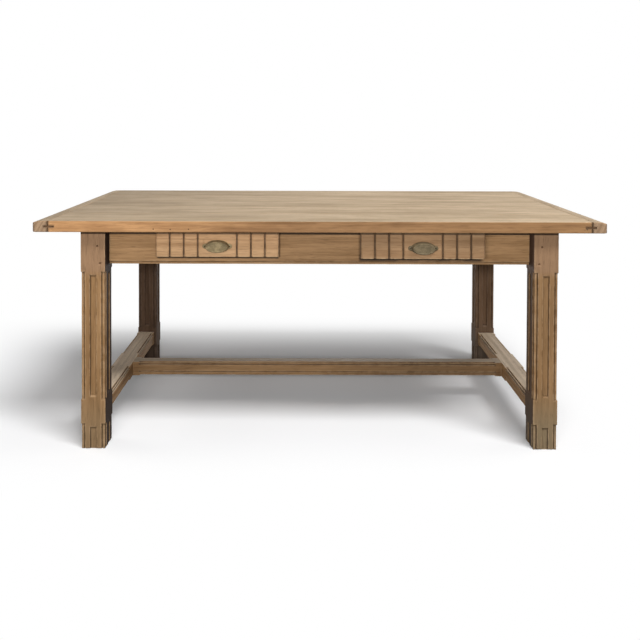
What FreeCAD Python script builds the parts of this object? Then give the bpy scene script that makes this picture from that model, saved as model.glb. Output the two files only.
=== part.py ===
import FreeCAD, Part
import os

Vector = FreeCAD.Vector

# All sizes are in millimetres. X runs along the table, -Y is the drawer side, Z is up,
# and the origin is on the floor under the middle of the top.

# Tabletop
TOP_LENGTH = 1900.0
TOP_DEPTH = 910.0
TABLE_HEIGHT = 770.0
TOP_THICKNESS = 37.0
PLANK_COUNT = 5
END_BOARD_WIDTH = 52.0
END_JOINT_GAP = 0.8
END_JOINT_EASE = 1.6
END_FALL = 7.0
END_FALL_RUN = 36.0
TOP_CORNER_RADIUS = 14.0
TOP_ARRIS_RADIUS = 3.0
SPLINE_IN_PLANK = 20.0
SPLINE_IN_END_BOARD = 13.0
SPLINE_THICKNESS = 5.0
SPLINE_RECESS = 4.0

# Legs
LEG_WIDTH = 82.0
LEG_END_SETBACK = 152.0
LEG_EDGE_SETBACK = 29.0
LEG_STRIP_WIDTH = 13.0
LEG_STRIP_DEPTH = 2.2
LEG_STRIP_RUN_OUT = 3.0
LEG_GROOVE_WIDTH = 20.0
LEG_GROOVE_DEPTH = 4.0
LEG_GROOVE_RUN_OUT = 4.0
LEG_GROOVE_INSET = 11.0
LEG_BLOCK_BELOW_RAIL = 16.0
LEG_BLOCK_BELOW_STRETCHER = 9.0
LEG_BLOCK_ABOVE_STRETCHER = 19.0
FOOT_CHAMFER = 3.0

# Rails and their tenons
RAIL_STRIP = 30.0
RAIL_THICKNESS = 24.0
RAIL_INSET = 10.0
SIDE_RAIL_SETBACK = 20.0
RAIL_STEP_HEIGHT = 9.0
RAIL_STEP_DEPTH = 3.0
TENON_THICKNESS = 10.0
TENON_SHOULDER = 6.0
TENON_HAUNCH = 20.0
TENON_GAP = 2.0
TENON_COVER = 30.0

# Pegs that pin the tenons
PEG_DIAMETER = 7.0
PEG_CLEARANCE = 0.1
PEG_PROUD = 0.6
PEG_BLIND = 6.0
PEG_STAGGER = 9.0
PEG_FROM_TENON_FOOT = 7.0
PEG_FROM_TENON_HEAD = 31.0
SIDE_PEG_FROM_TENON_END = 12.0
SIDE_PEG_PAST_TENON = 8.0

# Stretchers
STRETCHER_BOTTOM = 94.0
STRETCHER_HEIGHT = 53.0
SIDE_STRETCHER_INSET = 10.0
LONG_STRETCHER_WIDTH = 56.0
STRETCHER_UPPER_STRIP = 10.0
STRETCHER_LOWER_STRIP = 18.0
STRETCHER_STRIP_DEPTH = 2.5
STRETCHER_STRIP_RUN_OUT = 6.0
STRETCHER_STOP_AT_END = 24.0
STRETCHER_STOP_AT_JOINT = 45.0
STRETCHER_TENON_THICKNESS = 22.0
STRETCHER_TENON_HEIGHT = 28.0
STRETCHER_TENON_LENGTH = 38.0

# Quirk between a sunk corner strip and the raised face beside it, on legs and stretchers
QUIRK_WIDTH = 3.2
QUIRK_DEPTH = 3.0

# Drawers
DRAWER_SHIFT = 13.0
DRAWER_FRONT_WIDTH = 416.0
DRAWER_FRONT_HEIGHT = 88.0
DRAWER_FRONT_THICKNESS = 25.0
DRAWER_TOP_GAP = 3.0
DRAWER_FRONT_OVERLAP = 10.0
DRAWER_FRONT_GAP = 0.5
DRAWER_LENGTH = 430.0
DRAWER_SIDE_CLEARANCE = 2.0
DRAWER_HEAD_ROOM = 6.0
DRAWER_RUNNING_GAP = 0.4
DRAWER_SIDE_THICKNESS = 12.0
DRAWER_BACK_THICKNESS = 12.0
DRAWER_BACK_INSET = 15.0
DRAWER_BACK_DROP = 5.0
DRAWER_BOTTOM_THICKNESS = 6.0
DRAWER_BOTTOM_RISE = 8.0
FRONT_HOUSING = 8.0
SIDE_HOUSING = 4.0
RIGHT_DRAWER_AJAR = 25.0

# Reeds on the drawer fronts
REEDS_PER_END = 3
REED_PITCH = 47.3
REED_ROUND = 8.0
REED_QUIRK = 1.6

# Nails through each drawer bottom
BOTTOM_NAIL_COUNT = 3
BOTTOM_NAIL_SPACING = 120.0
BOTTOM_NAIL_DIAMETER = 2.2
BOTTOM_NAIL_GRIP = 16.0

# Cup pulls
PULL_DROP = 8.0
PULL_LENGTH = 101.0
PULL_EAR_HEIGHT = 17.0
PULL_FLANGE_THICKNESS = 2.0
CUP_BACK_WIDTH = 82.0
CUP_BACK_HEIGHT = 43.0
CUP_FACE_WIDTH = 73.0
CUP_FACE_HEIGHT = 36.0
CUP_PROJECTION = 22.0
CUP_WALL = 2.0
CUP_MOUTH_DROP = 5.0

# Screws
SCREW_CLEARANCE = 0.15
PULL_SCREW_DIAMETER = 3.4
PULL_SCREW_HEAD = 7.0
PULL_SCREW_HEAD_HEIGHT = 1.8
PULL_SCREW_GRIP = 14.0
BUTTON_SCREW_DIAMETER = 4.0
BUTTON_SCREW_HEAD = 8.0
BUTTON_SCREW_HEAD_HEIGHT = 2.5
BUTTON_SCREW_GRIP = 18.0

# Runners and guides that carry the drawers
RUNNER_THICKNESS = 26.0
RUNNER_LEDGE = 6.0
RUNNER_STUB = 8.0
GUIDE_CLEARANCE = 1.0
GUIDE_WIDTH = 18.0
GUIDE_HEIGHT = 36.0

# Buttons that hold the top to the rails
BUTTON_WIDTH = 40.0
BUTTON_LENGTH = 34.0
BUTTON_HEIGHT = 24.0
BUTTON_TONGUE_LENGTH = 9.0
BUTTON_TONGUE_THICKNESS = 10.0
BACK_BUTTON_SPACING = 430.0
SIDE_BUTTON_SPACING = 200.0

# How far a cutting solid passes the surface that it cuts
OVERSHOOT = 2.0

# Levels and planes that follow from the sizes above
TOP_UNDERSIDE = TABLE_HEIGHT - TOP_THICKNESS
TOP_END = TOP_LENGTH / 2
TOP_EDGE = TOP_DEPTH / 2
PLANK_END = TOP_END - END_BOARD_WIDTH - END_JOINT_GAP
SPLINE_BOTTOM = TOP_UNDERSIDE + (TOP_THICKNESS - SPLINE_THICKNESS) / 2

LEG_OUTER_X = TOP_END - LEG_END_SETBACK
LEG_INNER_X = LEG_OUTER_X - LEG_WIDTH
LEG_OUTER_Y = TOP_EDGE - LEG_EDGE_SETBACK
LEG_INNER_Y = LEG_OUTER_Y - LEG_WIDTH
LEG_CENTRE_X = LEG_OUTER_X - LEG_WIDTH / 2
LEG_CENTRE_Y = LEG_OUTER_Y - LEG_WIDTH / 2

RAIL_HEIGHT = DRAWER_TOP_GAP + DRAWER_FRONT_HEIGHT + RAIL_STRIP
RAIL_BOTTOM = TOP_UNDERSIDE - RAIL_HEIGHT
RAIL_INNER_Y = LEG_INNER_Y + RAIL_INSET
RAIL_OUTER_Y = RAIL_INNER_Y + RAIL_THICKNESS
RAIL_CENTRE_Y = RAIL_OUTER_Y - RAIL_THICKNESS / 2
SIDE_RAIL_OUTER_X = LEG_OUTER_X - SIDE_RAIL_SETBACK
SIDE_RAIL_INNER_X = SIDE_RAIL_OUTER_X - RAIL_THICKNESS
SIDE_RAIL_CENTRE_X = SIDE_RAIL_OUTER_X - RAIL_THICKNESS / 2
TENON_LOW = RAIL_BOTTOM + TENON_SHOULDER
TENON_HIGH = TOP_UNDERSIDE - TENON_HAUNCH
SIDE_TENON_INNER_X = SIDE_RAIL_CENTRE_X - TENON_THICKNESS / 2
RAIL_TENON_END_X = SIDE_TENON_INNER_X - TENON_GAP
SIDE_TENON_END_Y = LEG_OUTER_Y - TENON_COVER
PEG_LEVELS = (TENON_LOW + PEG_FROM_TENON_FOOT, TENON_HIGH - PEG_FROM_TENON_HEAD)

STRETCHER_TOP = STRETCHER_BOTTOM + STRETCHER_HEIGHT
STRETCHER_LEVEL = STRETCHER_BOTTOM + STRETCHER_HEIGHT / 2
SIDE_STRETCHER_WIDTH = LEG_WIDTH - SIDE_STRETCHER_INSET
SIDE_STRETCHER_INNER_X = LEG_OUTER_X - SIDE_STRETCHER_WIDTH
SIDE_STRETCHER_CENTRE_X = LEG_OUTER_X - SIDE_STRETCHER_WIDTH / 2
FOOT_TOP = STRETCHER_BOTTOM - LEG_BLOCK_BELOW_STRETCHER
SHAFT_LOW = STRETCHER_TOP + LEG_BLOCK_ABOVE_STRETCHER
SHAFT_HIGH = RAIL_BOTTOM - LEG_BLOCK_BELOW_RAIL

DRAWER_CENTRE = LEG_INNER_X / 2 - DRAWER_SHIFT
FRONT_HALF = DRAWER_FRONT_WIDTH / 2
FRONT_TOP = TOP_UNDERSIDE - DRAWER_TOP_GAP
FRONT_BOTTOM = FRONT_TOP - DRAWER_FRONT_HEIGHT
FRONT_BACK_Y = -RAIL_OUTER_Y - DRAWER_FRONT_GAP
FRONT_FACE_Y = FRONT_BACK_Y - DRAWER_FRONT_THICKNESS
OPENING_HALF = FRONT_HALF - DRAWER_FRONT_OVERLAP
OPENING_BOTTOM = FRONT_BOTTOM + DRAWER_FRONT_OVERLAP
BOX_HALF = OPENING_HALF - DRAWER_SIDE_CLEARANCE
BOX_INNER_HALF = BOX_HALF - DRAWER_SIDE_THICKNESS
BOX_BOTTOM = OPENING_BOTTOM + DRAWER_RUNNING_GAP
BOX_TOP = TOP_UNDERSIDE - DRAWER_HEAD_ROOM
BOX_END_Y = FRONT_BACK_Y + DRAWER_LENGTH
BACK_REAR_Y = BOX_END_Y - DRAWER_BACK_INSET
BACK_FRONT_Y = BACK_REAR_Y - DRAWER_BACK_THICKNESS
PANEL_BOTTOM = BOX_BOTTOM + DRAWER_BOTTOM_RISE
PANEL_TOP = PANEL_BOTTOM + DRAWER_BOTTOM_THICKNESS
PULL_LEVEL = (FRONT_TOP + FRONT_BOTTOM) / 2 - PULL_DROP
PULL_SCREW_OFFSET = (PULL_LENGTH - PULL_EAR_HEIGHT) / 2

ENDS = {"left": -1, "right": 1}
DRAWERS = {"left": (-DRAWER_CENTRE, 0.0), "right": (DRAWER_CENTRE, -RIGHT_DRAWER_AJAR)}


def block(x0, x1, y0, y1, z0, z1):
    """Box between two corners, whichever way round they are given."""
    low = Vector(min(x0, x1), min(y0, y1), min(z0, z1))
    return Part.makeBox(abs(x1 - x0), abs(y1 - y0), abs(z1 - z0), low)


def prism(points, sweep):
    """Solid swept from a flat outline of straight sides."""
    outline = Part.makePolygon(points + points[:1])
    return Part.Face(outline).extrude(sweep)


def rod(start, direction, diameter, length):
    """Round bar from a point along a direction."""
    return Part.makeCylinder(diameter / 2, length, start, direction)


def joined(shapes):
    """One solid from shapes that overlap or share faces."""
    return shapes[0].fuse(shapes[1:]).removeSplitter()


def rounded(shape, radius, keep):
    """Fillet the edges whose middle point passes the keep test."""
    edges = [edge for edge in shape.Edges if keep(edge.CenterOfMass)]
    return shape.makeFillet(radius, edges)


def run_out_outline(depth, low, high, low_run, high_run):
    """Depth and height pairs of a cut whose two ends slope up to the surface."""
    rise = OVERSHOOT / depth
    return [
        (-depth, low + low_run),
        (OVERSHOOT, low - low_run * rise),
        (OVERSHOOT, high + high_run * rise),
        (-depth, high - high_run),
    ]


def corner_cutters(width, depth, zone):
    """Cutters along Z for the strips and quirks of the corner at the origin, with the wood at -X and -Y."""
    strip = run_out_outline(depth, *zone)
    quirk = run_out_outline(depth + QUIRK_DEPTH, *zone)
    reach = width + OVERSHOOT
    return [
        prism([Vector(u, -width, z) for u, z in strip], Vector(0, reach, 0)),
        prism([Vector(-width, u, z) for u, z in strip], Vector(reach, 0, 0)),
        prism([Vector(u, -width, z) for u, z in quirk], Vector(0, QUIRK_WIDTH, 0)),
        prism([Vector(-width, u, z) for u, z in quirk], Vector(QUIRK_WIDTH, 0, 0)),
    ]


def groove_cutter(width, depth, zone):
    """Flat groove cutter along Z for a face on the XZ plane, with the wood at -Y."""
    outline = run_out_outline(depth, *zone)
    return prism([Vector(-width / 2, u, z) for u, z in outline], Vector(width, 0, 0))


def turned(shape, quarter_turns, position):
    """Copy of a shape turned about Z by quarter turns and then moved."""
    copy = shape.copy()
    copy.rotate(Vector(0, 0, 0), Vector(0, 0, 1), 90 * quarter_turns)
    copy.translate(position)
    return copy


def moulded_bar(width, depth, length, strip_widths, strip_depth, zones):
    """Upright bar centred on Z with stopped strips sunk down its corners, counted round from +X +Y."""
    bar = block(-width / 2, width / 2, -depth / 2, depth / 2, 0, length)
    corners = [(1, 1), (-1, 1), (-1, -1), (1, -1)]
    cutters = []
    for zone in zones:
        for turn, (side_x, side_y) in enumerate(corners):
            pattern = corner_cutters(strip_widths[turn], strip_depth, zone)
            place = Vector(side_x * width / 2, side_y * depth / 2, 0)
            cutters += [turned(cutter, turn, place) for cutter in pattern]
    return bar.cut(cutters)


def leg_blank():
    """Leg with its foot chamfer, corner strips and face grooves, before the mortises."""
    foot = (-OVERSHOOT, FOOT_TOP, 0, LEG_STRIP_RUN_OUT)
    shaft = (SHAFT_LOW, SHAFT_HIGH, LEG_STRIP_RUN_OUT, LEG_STRIP_RUN_OUT)
    size = (LEG_WIDTH, LEG_WIDTH, TOP_UNDERSIDE)
    leg = moulded_bar(*size, [LEG_STRIP_WIDTH] * 4, LEG_STRIP_DEPTH, [foot, shaft])
    foot_groove = (-OVERSHOOT, FOOT_TOP - LEG_GROOVE_INSET, 0, LEG_GROOVE_RUN_OUT)
    shaft_groove = (
        SHAFT_LOW + LEG_GROOVE_INSET,
        SHAFT_HIGH - LEG_GROOVE_INSET,
        LEG_GROOVE_RUN_OUT,
        LEG_GROOVE_RUN_OUT,
    )
    cutters = []
    faces = [(0, 1), (-1, 0), (0, -1), (1, 0)]
    for zone in (foot_groove, shaft_groove):
        cutter = groove_cutter(LEG_GROOVE_WIDTH, LEG_GROOVE_DEPTH, zone)
        for turn, (side_x, side_y) in enumerate(faces):
            place = Vector(side_x * LEG_WIDTH / 2, side_y * LEG_WIDTH / 2, 0)
            cutters.append(turned(cutter, turn, place))
    return leg.cut(cutters).common(foot_envelope())


def foot_envelope():
    """Plain leg with its lower arrises bevelled, which trims the foot."""
    half = LEG_WIDTH / 2
    plain = block(-half, half, -half, half, 0, TOP_UNDERSIDE)
    lower = [edge for edge in plain.Edges if edge.CenterOfMass.z < FOOT_CHAMFER / 2]
    return plain.makeChamfer(FOOT_CHAMFER, lower)


def rail_tenons(side_y):
    """The two end tenons of the front or back rail."""
    middle = side_y * RAIL_CENTRE_Y
    low_y = middle - TENON_THICKNESS / 2
    high_y = middle + TENON_THICKNESS / 2
    return [
        block(side * LEG_INNER_X, side * RAIL_TENON_END_X, low_y, high_y, TENON_LOW, TENON_HIGH)
        for side in ENDS.values()
    ]


def long_rail(side_y):
    """Front or back rail between the legs, with its tenons and stepped lower edge."""
    outer = side_y * RAIL_OUTER_Y
    inner = side_y * RAIL_INNER_Y
    board = block(-LEG_INNER_X, LEG_INNER_X, outer, inner, RAIL_BOTTOM, TOP_UNDERSIDE)
    step_top = RAIL_BOTTOM + RAIL_STEP_HEIGHT
    step_outer = outer + side_y * OVERSHOOT
    step_inner = outer - side_y * RAIL_STEP_DEPTH
    step_bottom = RAIL_BOTTOM - OVERSHOOT
    step = block(-LEG_INNER_X, LEG_INNER_X, step_outer, step_inner, step_bottom, step_top)
    return joined([board.cut(step)] + rail_tenons(side_y))


def drawer_openings():
    """Cuts in the front rail that the drawer boxes pass through."""
    top = TOP_UNDERSIDE + OVERSHOOT
    front = -RAIL_OUTER_Y - OVERSHOOT
    back = -RAIL_INNER_Y + OVERSHOOT
    return [
        block(centre - OPENING_HALF, centre + OPENING_HALF, front, back, OPENING_BOTTOM, top)
        for centre, _ in DRAWERS.values()
    ]


def side_rail(side_x):
    """Short rail between a front and a back leg, with its tenons."""
    outer = side_x * SIDE_RAIL_OUTER_X
    inner = side_x * SIDE_RAIL_INNER_X
    board = block(outer, inner, -LEG_INNER_Y, LEG_INNER_Y, RAIL_BOTTOM, TOP_UNDERSIDE)
    low_x = side_x * SIDE_RAIL_CENTRE_X - TENON_THICKNESS / 2
    high_x = low_x + TENON_THICKNESS
    tongue = block(low_x, high_x, -SIDE_TENON_END_Y, SIDE_TENON_END_Y, TENON_LOW, TENON_HIGH)
    return joined([board, tongue])


def stretcher_zones(length, stops):
    """Moulded stretches of a stretcher between its stopped places."""
    edges = [STRETCHER_STOP_AT_END]
    reach = LONG_STRETCHER_WIDTH / 2 + STRETCHER_STOP_AT_JOINT
    for stop in stops:
        edges += [stop - reach, stop + reach]
    edges.append(length - STRETCHER_STOP_AT_END)
    pairs = zip(edges[::2], edges[1::2])
    return [(low, high, STRETCHER_STRIP_RUN_OUT, STRETCHER_STRIP_RUN_OUT) for low, high in pairs]


def side_stretcher(side_x):
    """Stretcher between a front and a back leg, with its tenons."""
    length = 2 * LEG_INNER_Y
    zones = stretcher_zones(length, [LEG_INNER_Y])
    size = (SIDE_STRETCHER_WIDTH, STRETCHER_HEIGHT, length)
    strips = [STRETCHER_LOWER_STRIP] * 2 + [STRETCHER_UPPER_STRIP] * 2
    bar = moulded_bar(*size, strips, STRETCHER_STRIP_DEPTH, zones)
    bar.rotate(Vector(0, 0, 0), Vector(1, 0, 0), -90)
    bar.translate(Vector(side_x * SIDE_STRETCHER_CENTRE_X, -LEG_INNER_Y, STRETCHER_LEVEL))
    reach = LEG_INNER_Y + STRETCHER_TENON_LENGTH
    low_x = side_x * SIDE_STRETCHER_CENTRE_X - STRETCHER_TENON_THICKNESS / 2
    high_x = low_x + STRETCHER_TENON_THICKNESS
    low_z = STRETCHER_LEVEL - STRETCHER_TENON_HEIGHT / 2
    high_z = STRETCHER_LEVEL + STRETCHER_TENON_HEIGHT / 2
    return joined([bar, block(low_x, high_x, -reach, reach, low_z, high_z)])


def long_stretcher():
    """Stretcher along the middle of the table, tenoned into the side stretchers."""
    length = 2 * SIDE_STRETCHER_INNER_X
    zones = stretcher_zones(length, [])
    size = (STRETCHER_HEIGHT, LONG_STRETCHER_WIDTH, length)
    strips = [STRETCHER_LOWER_STRIP, STRETCHER_UPPER_STRIP, STRETCHER_UPPER_STRIP, STRETCHER_LOWER_STRIP]
    bar = moulded_bar(*size, strips, STRETCHER_STRIP_DEPTH, zones)
    bar.rotate(Vector(0, 0, 0), Vector(0, 1, 0), 90)
    bar.translate(Vector(-SIDE_STRETCHER_INNER_X, 0, STRETCHER_LEVEL))
    reach = SIDE_STRETCHER_INNER_X + STRETCHER_TENON_LENGTH
    half = STRETCHER_TENON_THICKNESS / 2
    low_z = STRETCHER_LEVEL - STRETCHER_TENON_HEIGHT / 2
    high_z = STRETCHER_LEVEL + STRETCHER_TENON_HEIGHT / 2
    return joined([bar, block(-reach, reach, -half, half, low_z, high_z)])


def rail_pegs(side_y, clearance=0.0):
    """Two pegs through each end tenon of the front or back rail."""
    diameter = PEG_DIAMETER + 2 * clearance
    length = LEG_WIDTH - PEG_BLIND + PEG_PROUD
    middle = (LEG_INNER_X + RAIL_TENON_END_X) / 2
    offsets = (middle - PEG_STAGGER / 2, middle + PEG_STAGGER / 2)
    pegs = []
    for side_x in ENDS.values():
        for offset, level in zip(offsets, PEG_LEVELS):
            start = Vector(side_x * offset, side_y * (LEG_OUTER_Y + PEG_PROUD), level)
            pegs.append(rod(start, Vector(0, -side_y, 0), diameter, length))
    return pegs


def side_rail_pegs(clearance=0.0):
    """Two pegs through each end tenon of the side rails."""
    diameter = PEG_DIAMETER + 2 * clearance
    inner_end = SIDE_TENON_INNER_X - SIDE_PEG_PAST_TENON
    length = LEG_OUTER_X + PEG_PROUD - inner_end
    pegs = []
    for side_x in ENDS.values():
        for side_y in (-1, 1):
            place = side_y * (SIDE_TENON_END_Y - SIDE_PEG_FROM_TENON_END)
            for level in PEG_LEVELS:
                start = Vector(side_x * (LEG_OUTER_X + PEG_PROUD), place, level)
                pegs.append(rod(start, Vector(-side_x, 0, 0), diameter, length))
    return pegs


def stretcher_pegs(clearance=0.0):
    """One peg through each end tenon of the side stretchers."""
    diameter = PEG_DIAMETER + 2 * clearance
    length = LEG_WIDTH - PEG_BLIND + PEG_PROUD
    pegs = []
    for side_x in ENDS.values():
        for side_y in (-1, 1):
            place = side_y * (LEG_INNER_Y + STRETCHER_TENON_LENGTH / 2)
            start = Vector(side_x * (LEG_OUTER_X + PEG_PROUD), place, STRETCHER_LEVEL)
            pegs.append(rod(start, Vector(-side_x, 0, 0), diameter, length))
    return pegs


def runner_span(side, centre):
    """Outer face of the drawer side, then the inner and the outer face of the guide beside it."""
    face = centre + side * BOX_HALF
    guide_inner = face + side * GUIDE_CLEARANCE
    return face, guide_inner, guide_inner + side * GUIDE_WIDTH


def runner(side, centre):
    """Bar under one side of a drawer, stub-tenoned into the front and back rails."""
    face, _, outer = runner_span(side, centre)
    inner = face - side * (DRAWER_SIDE_THICKNESS + RUNNER_LEDGE)
    reach = RAIL_INNER_Y + RUNNER_STUB
    bottom = OPENING_BOTTOM - RUNNER_THICKNESS
    return block(inner, outer, -reach, reach, bottom, OPENING_BOTTOM)


def guide(side, centre):
    """Strip on a runner that keeps the drawer running straight."""
    _, inner, outer = runner_span(side, centre)
    top = OPENING_BOTTOM + GUIDE_HEIGHT
    return block(inner, outer, -RAIL_INNER_Y, RAIL_INNER_Y, OPENING_BOTTOM, top)


def button_places():
    """Point on the rail's inner face and the quarter turns that face the button inwards."""
    outer_x = (LEG_INNER_X + DRAWER_CENTRE + OPENING_HALF) / 2
    places = []
    for x in (-outer_x, 0.0, outer_x):
        places.append((Vector(x, -RAIL_INNER_Y, 0), 0))
    for x in (-BACK_BUTTON_SPACING, 0.0, BACK_BUTTON_SPACING):
        places.append((Vector(x, RAIL_INNER_Y, 0), 2))
    for y in (-SIDE_BUTTON_SPACING, SIDE_BUTTON_SPACING):
        places.append((Vector(SIDE_RAIL_INNER_X, y, 0), 1))
        places.append((Vector(-SIDE_RAIL_INNER_X, y, 0), 3))
    return places


def buttons():
    """Wooden buttons under the top with tongues in the rails."""
    half = BUTTON_WIDTH / 2
    bottom = TOP_UNDERSIDE - BUTTON_HEIGHT
    body = block(-half, half, 0, BUTTON_LENGTH, bottom, TOP_UNDERSIDE)
    tongue_top = bottom + BUTTON_TONGUE_THICKNESS
    tongue = block(-half, half, -BUTTON_TONGUE_LENGTH, 0, bottom, tongue_top)
    pattern = joined([body, tongue])
    return [turned(pattern, turns, place) for place, turns in button_places()]


def button_screws(clearance=0.0):
    """Round-headed screws up through the buttons into the top."""
    diameter = BUTTON_SCREW_DIAMETER + 2 * clearance
    seat = Vector(0, BUTTON_LENGTH / 2, TOP_UNDERSIDE - BUTTON_HEIGHT)
    shank = rod(seat, Vector(0, 0, 1), diameter, BUTTON_HEIGHT + BUTTON_SCREW_GRIP + clearance)
    head = rod(seat, Vector(0, 0, -1), BUTTON_SCREW_HEAD, BUTTON_SCREW_HEAD_HEIGHT)
    pattern = joined([shank, head])
    return [turned(pattern, turns, place) for place, turns in button_places()]


def spline(side_x):
    """Loose tongue that joins the planks to an end board."""
    inner = side_x * (PLANK_END - SPLINE_IN_PLANK)
    outer = side_x * (TOP_END - END_BOARD_WIDTH + SPLINE_IN_END_BOARD)
    edge = TOP_EDGE - SPLINE_RECESS
    return block(inner, outer, -edge, edge, SPLINE_BOTTOM, SPLINE_BOTTOM + SPLINE_THICKNESS)


def spline_grooves():
    """Slots for the loose tongues, open at the front and back edges of the top."""
    reach = TOP_EDGE + OVERSHOOT
    top = SPLINE_BOTTOM + SPLINE_THICKNESS
    slots = []
    for side_x in ENDS.values():
        inner = side_x * (PLANK_END - SPLINE_IN_PLANK)
        outer = side_x * (TOP_END - END_BOARD_WIDTH + SPLINE_IN_END_BOARD)
        slots.append(block(inner, outer, -reach, reach, SPLINE_BOTTOM, top))
    return slots


def joint_wedges():
    """Wedges along Z that ease the upright arrises of the end joints at the front and back edges."""
    sweep = Vector(0, 0, TOP_THICKNESS + 2 * OVERSHOOT)
    low = TOP_UNDERSIDE - OVERSHOOT
    wedges = []
    for side_x in ENDS.values():
        for side_y in (-1, 1):
            outside = side_y * (TOP_EDGE + OVERSHOOT)
            inside = side_y * (TOP_EDGE - END_JOINT_EASE)
            for face, into in ((PLANK_END, -1), (TOP_END - END_BOARD_WIDTH, 1)):
                wide = side_x * (face + into * (END_JOINT_EASE + OVERSHOOT))
                face_x = side_x * face
                outline = [Vector(wide, outside, low), Vector(face_x, outside, low), Vector(face_x, inside, low)]
                wedges.append(prism(outline, sweep))
    return wedges


def plank(index):
    """One long board of the top, with the outermost arrises eased."""
    width = TOP_DEPTH / PLANK_COUNT
    front = -TOP_EDGE + index * width
    back = front + width
    board = block(-PLANK_END, PLANK_END, front, back, TOP_UNDERSIDE, TABLE_HEIGHT)
    if index == 0:
        board = rounded(board, TOP_ARRIS_RADIUS, lambda c: is_long_arris(c, front))
    if index == PLANK_COUNT - 1:
        board = rounded(board, TOP_ARRIS_RADIUS, lambda c: is_long_arris(c, back))
    return board.cut(spline_grooves() + joint_wedges() + button_screws(SCREW_CLEARANCE))


def is_long_arris(middle, edge_y):
    """True for the upper and lower long arris on one edge of a plank."""
    on_edge = abs(middle.y - edge_y) < TOP_ARRIS_RADIUS / 2
    half_way_up = TOP_UNDERSIDE + TOP_THICKNESS / 2
    at_a_face = abs(middle.z - half_way_up) > TOP_THICKNESS / 4
    return on_edge and at_a_face and abs(middle.x) < PLANK_END / 2


def end_blank(side_x):
    """Square-ended clamp board whose upper face falls in an arc towards the end of the table."""
    def point(x, z):
        return Vector(side_x * x, -TOP_EDGE, z)

    radius = (END_FALL_RUN**2 + END_FALL**2) / (2 * END_FALL)
    half_run = END_FALL_RUN / 2
    half_way_fall = radius - (radius**2 - half_run**2) ** 0.5
    start = point(TOP_END - END_FALL_RUN, TABLE_HEIGHT)
    half_way = point(TOP_END - half_run, TABLE_HEIGHT - half_way_fall)
    end = point(TOP_END, TABLE_HEIGHT - END_FALL)
    inner = TOP_END - END_BOARD_WIDTH
    straight = [end, point(TOP_END, TOP_UNDERSIDE), point(inner, TOP_UNDERSIDE), point(inner, TABLE_HEIGHT), start]
    outline = Part.Wire([Part.Arc(start, half_way, end).toShape()] + Part.makePolygon(straight).Edges)
    return Part.Face(outline).extrude(Vector(0, TOP_DEPTH, 0))


def end_board(side_x):
    """Clamp board across one end of the top, with rounded corners and eased arrises."""
    inner = side_x * (TOP_END - END_BOARD_WIDTH)
    board = end_blank(side_x)
    middle_x = side_x * (TOP_END - END_BOARD_WIDTH / 2)
    half_way_up = TOP_UNDERSIDE + TOP_THICKNESS / 2

    def is_corner(centre):
        upright = abs(centre.z - half_way_up) < TOP_THICKNESS / 4
        return upright and side_x * (centre.x - middle_x) > 0

    def is_arris(centre):
        flat = abs(centre.z - half_way_up) > TOP_THICKNESS / 4
        return flat and side_x * (centre.x - inner) > TOP_ARRIS_RADIUS / 2

    board = rounded(board, TOP_CORNER_RADIUS, is_corner)
    board = rounded(board, TOP_ARRIS_RADIUS, is_arris)
    return board.cut(spline_grooves() + joint_wedges())


def reed_edges():
    """Distances from the middle of a drawer front to the edges of its reeds and centre field."""
    field = FRONT_HALF - REEDS_PER_END * REED_PITCH
    right = [field + count * REED_PITCH for count in range(REEDS_PER_END + 1)]
    return [-x for x in reversed(right)] + right


def reeded_face(centre, back_y, face_y):
    """Outline of a drawer front from above, with round-edged reeds between narrow quirks."""
    edges = reed_edges()
    floor_y = face_y + REED_ROUND
    start = Vector(centre + edges[0], floor_y, 0)
    parts = [Part.makeLine(Vector(centre + edges[0], back_y, 0), start)]
    slant = REED_ROUND * (1 - 0.5 ** 0.5)
    point = start
    for low, high in zip(edges, edges[1:]):
        inset_low = 0.0 if low == edges[0] else REED_QUIRK / 2
        inset_high = 0.0 if high == edges[-1] else REED_QUIRK / 2
        first = Vector(centre + low + inset_low, floor_y, 0)
        last = Vector(centre + high - inset_high, floor_y, 0)
        if low != edges[0]:
            parts.append(Part.makeLine(point, first))
        rise = first + Vector(REED_ROUND, -REED_ROUND, 0)
        fall = last + Vector(-REED_ROUND, -REED_ROUND, 0)
        parts.append(Part.Arc(first, first + Vector(slant, slant - REED_ROUND, 0), rise).toShape())
        parts.append(Part.makeLine(rise, fall))
        parts.append(Part.Arc(fall, last + Vector(-slant, slant - REED_ROUND, 0), last).toShape())
        point = last
    end = Vector(centre + edges[-1], back_y, 0)
    parts.append(Part.makeLine(point, end))
    parts.append(Part.makeLine(end, Vector(centre + edges[0], back_y, 0)))
    return Part.Face(Part.Wire(parts))


def drawer_side(side, centre):
    """Drawer side, housed into the back of the drawer front."""
    outer = centre + side * BOX_HALF
    inner = centre + side * BOX_INNER_HALF
    return block(inner, outer, FRONT_BACK_Y - FRONT_HOUSING, BOX_END_Y, BOX_BOTTOM, BOX_TOP)


def drawer_back(centre):
    """Drawer back, housed between the sides and standing on the bottom panel."""
    half = BOX_INNER_HALF + SIDE_HOUSING
    top = BOX_TOP - DRAWER_BACK_DROP
    return block(centre - half, centre + half, BACK_FRONT_Y, BACK_REAR_Y, PANEL_TOP, top)


def drawer_bottom(centre):
    """Thin bottom panel in grooves in the front and the sides."""
    half = BOX_INNER_HALF + SIDE_HOUSING
    front = FRONT_BACK_Y - FRONT_HOUSING
    return block(centre - half, centre + half, front, BACK_REAR_Y, PANEL_BOTTOM, PANEL_TOP)


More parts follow.
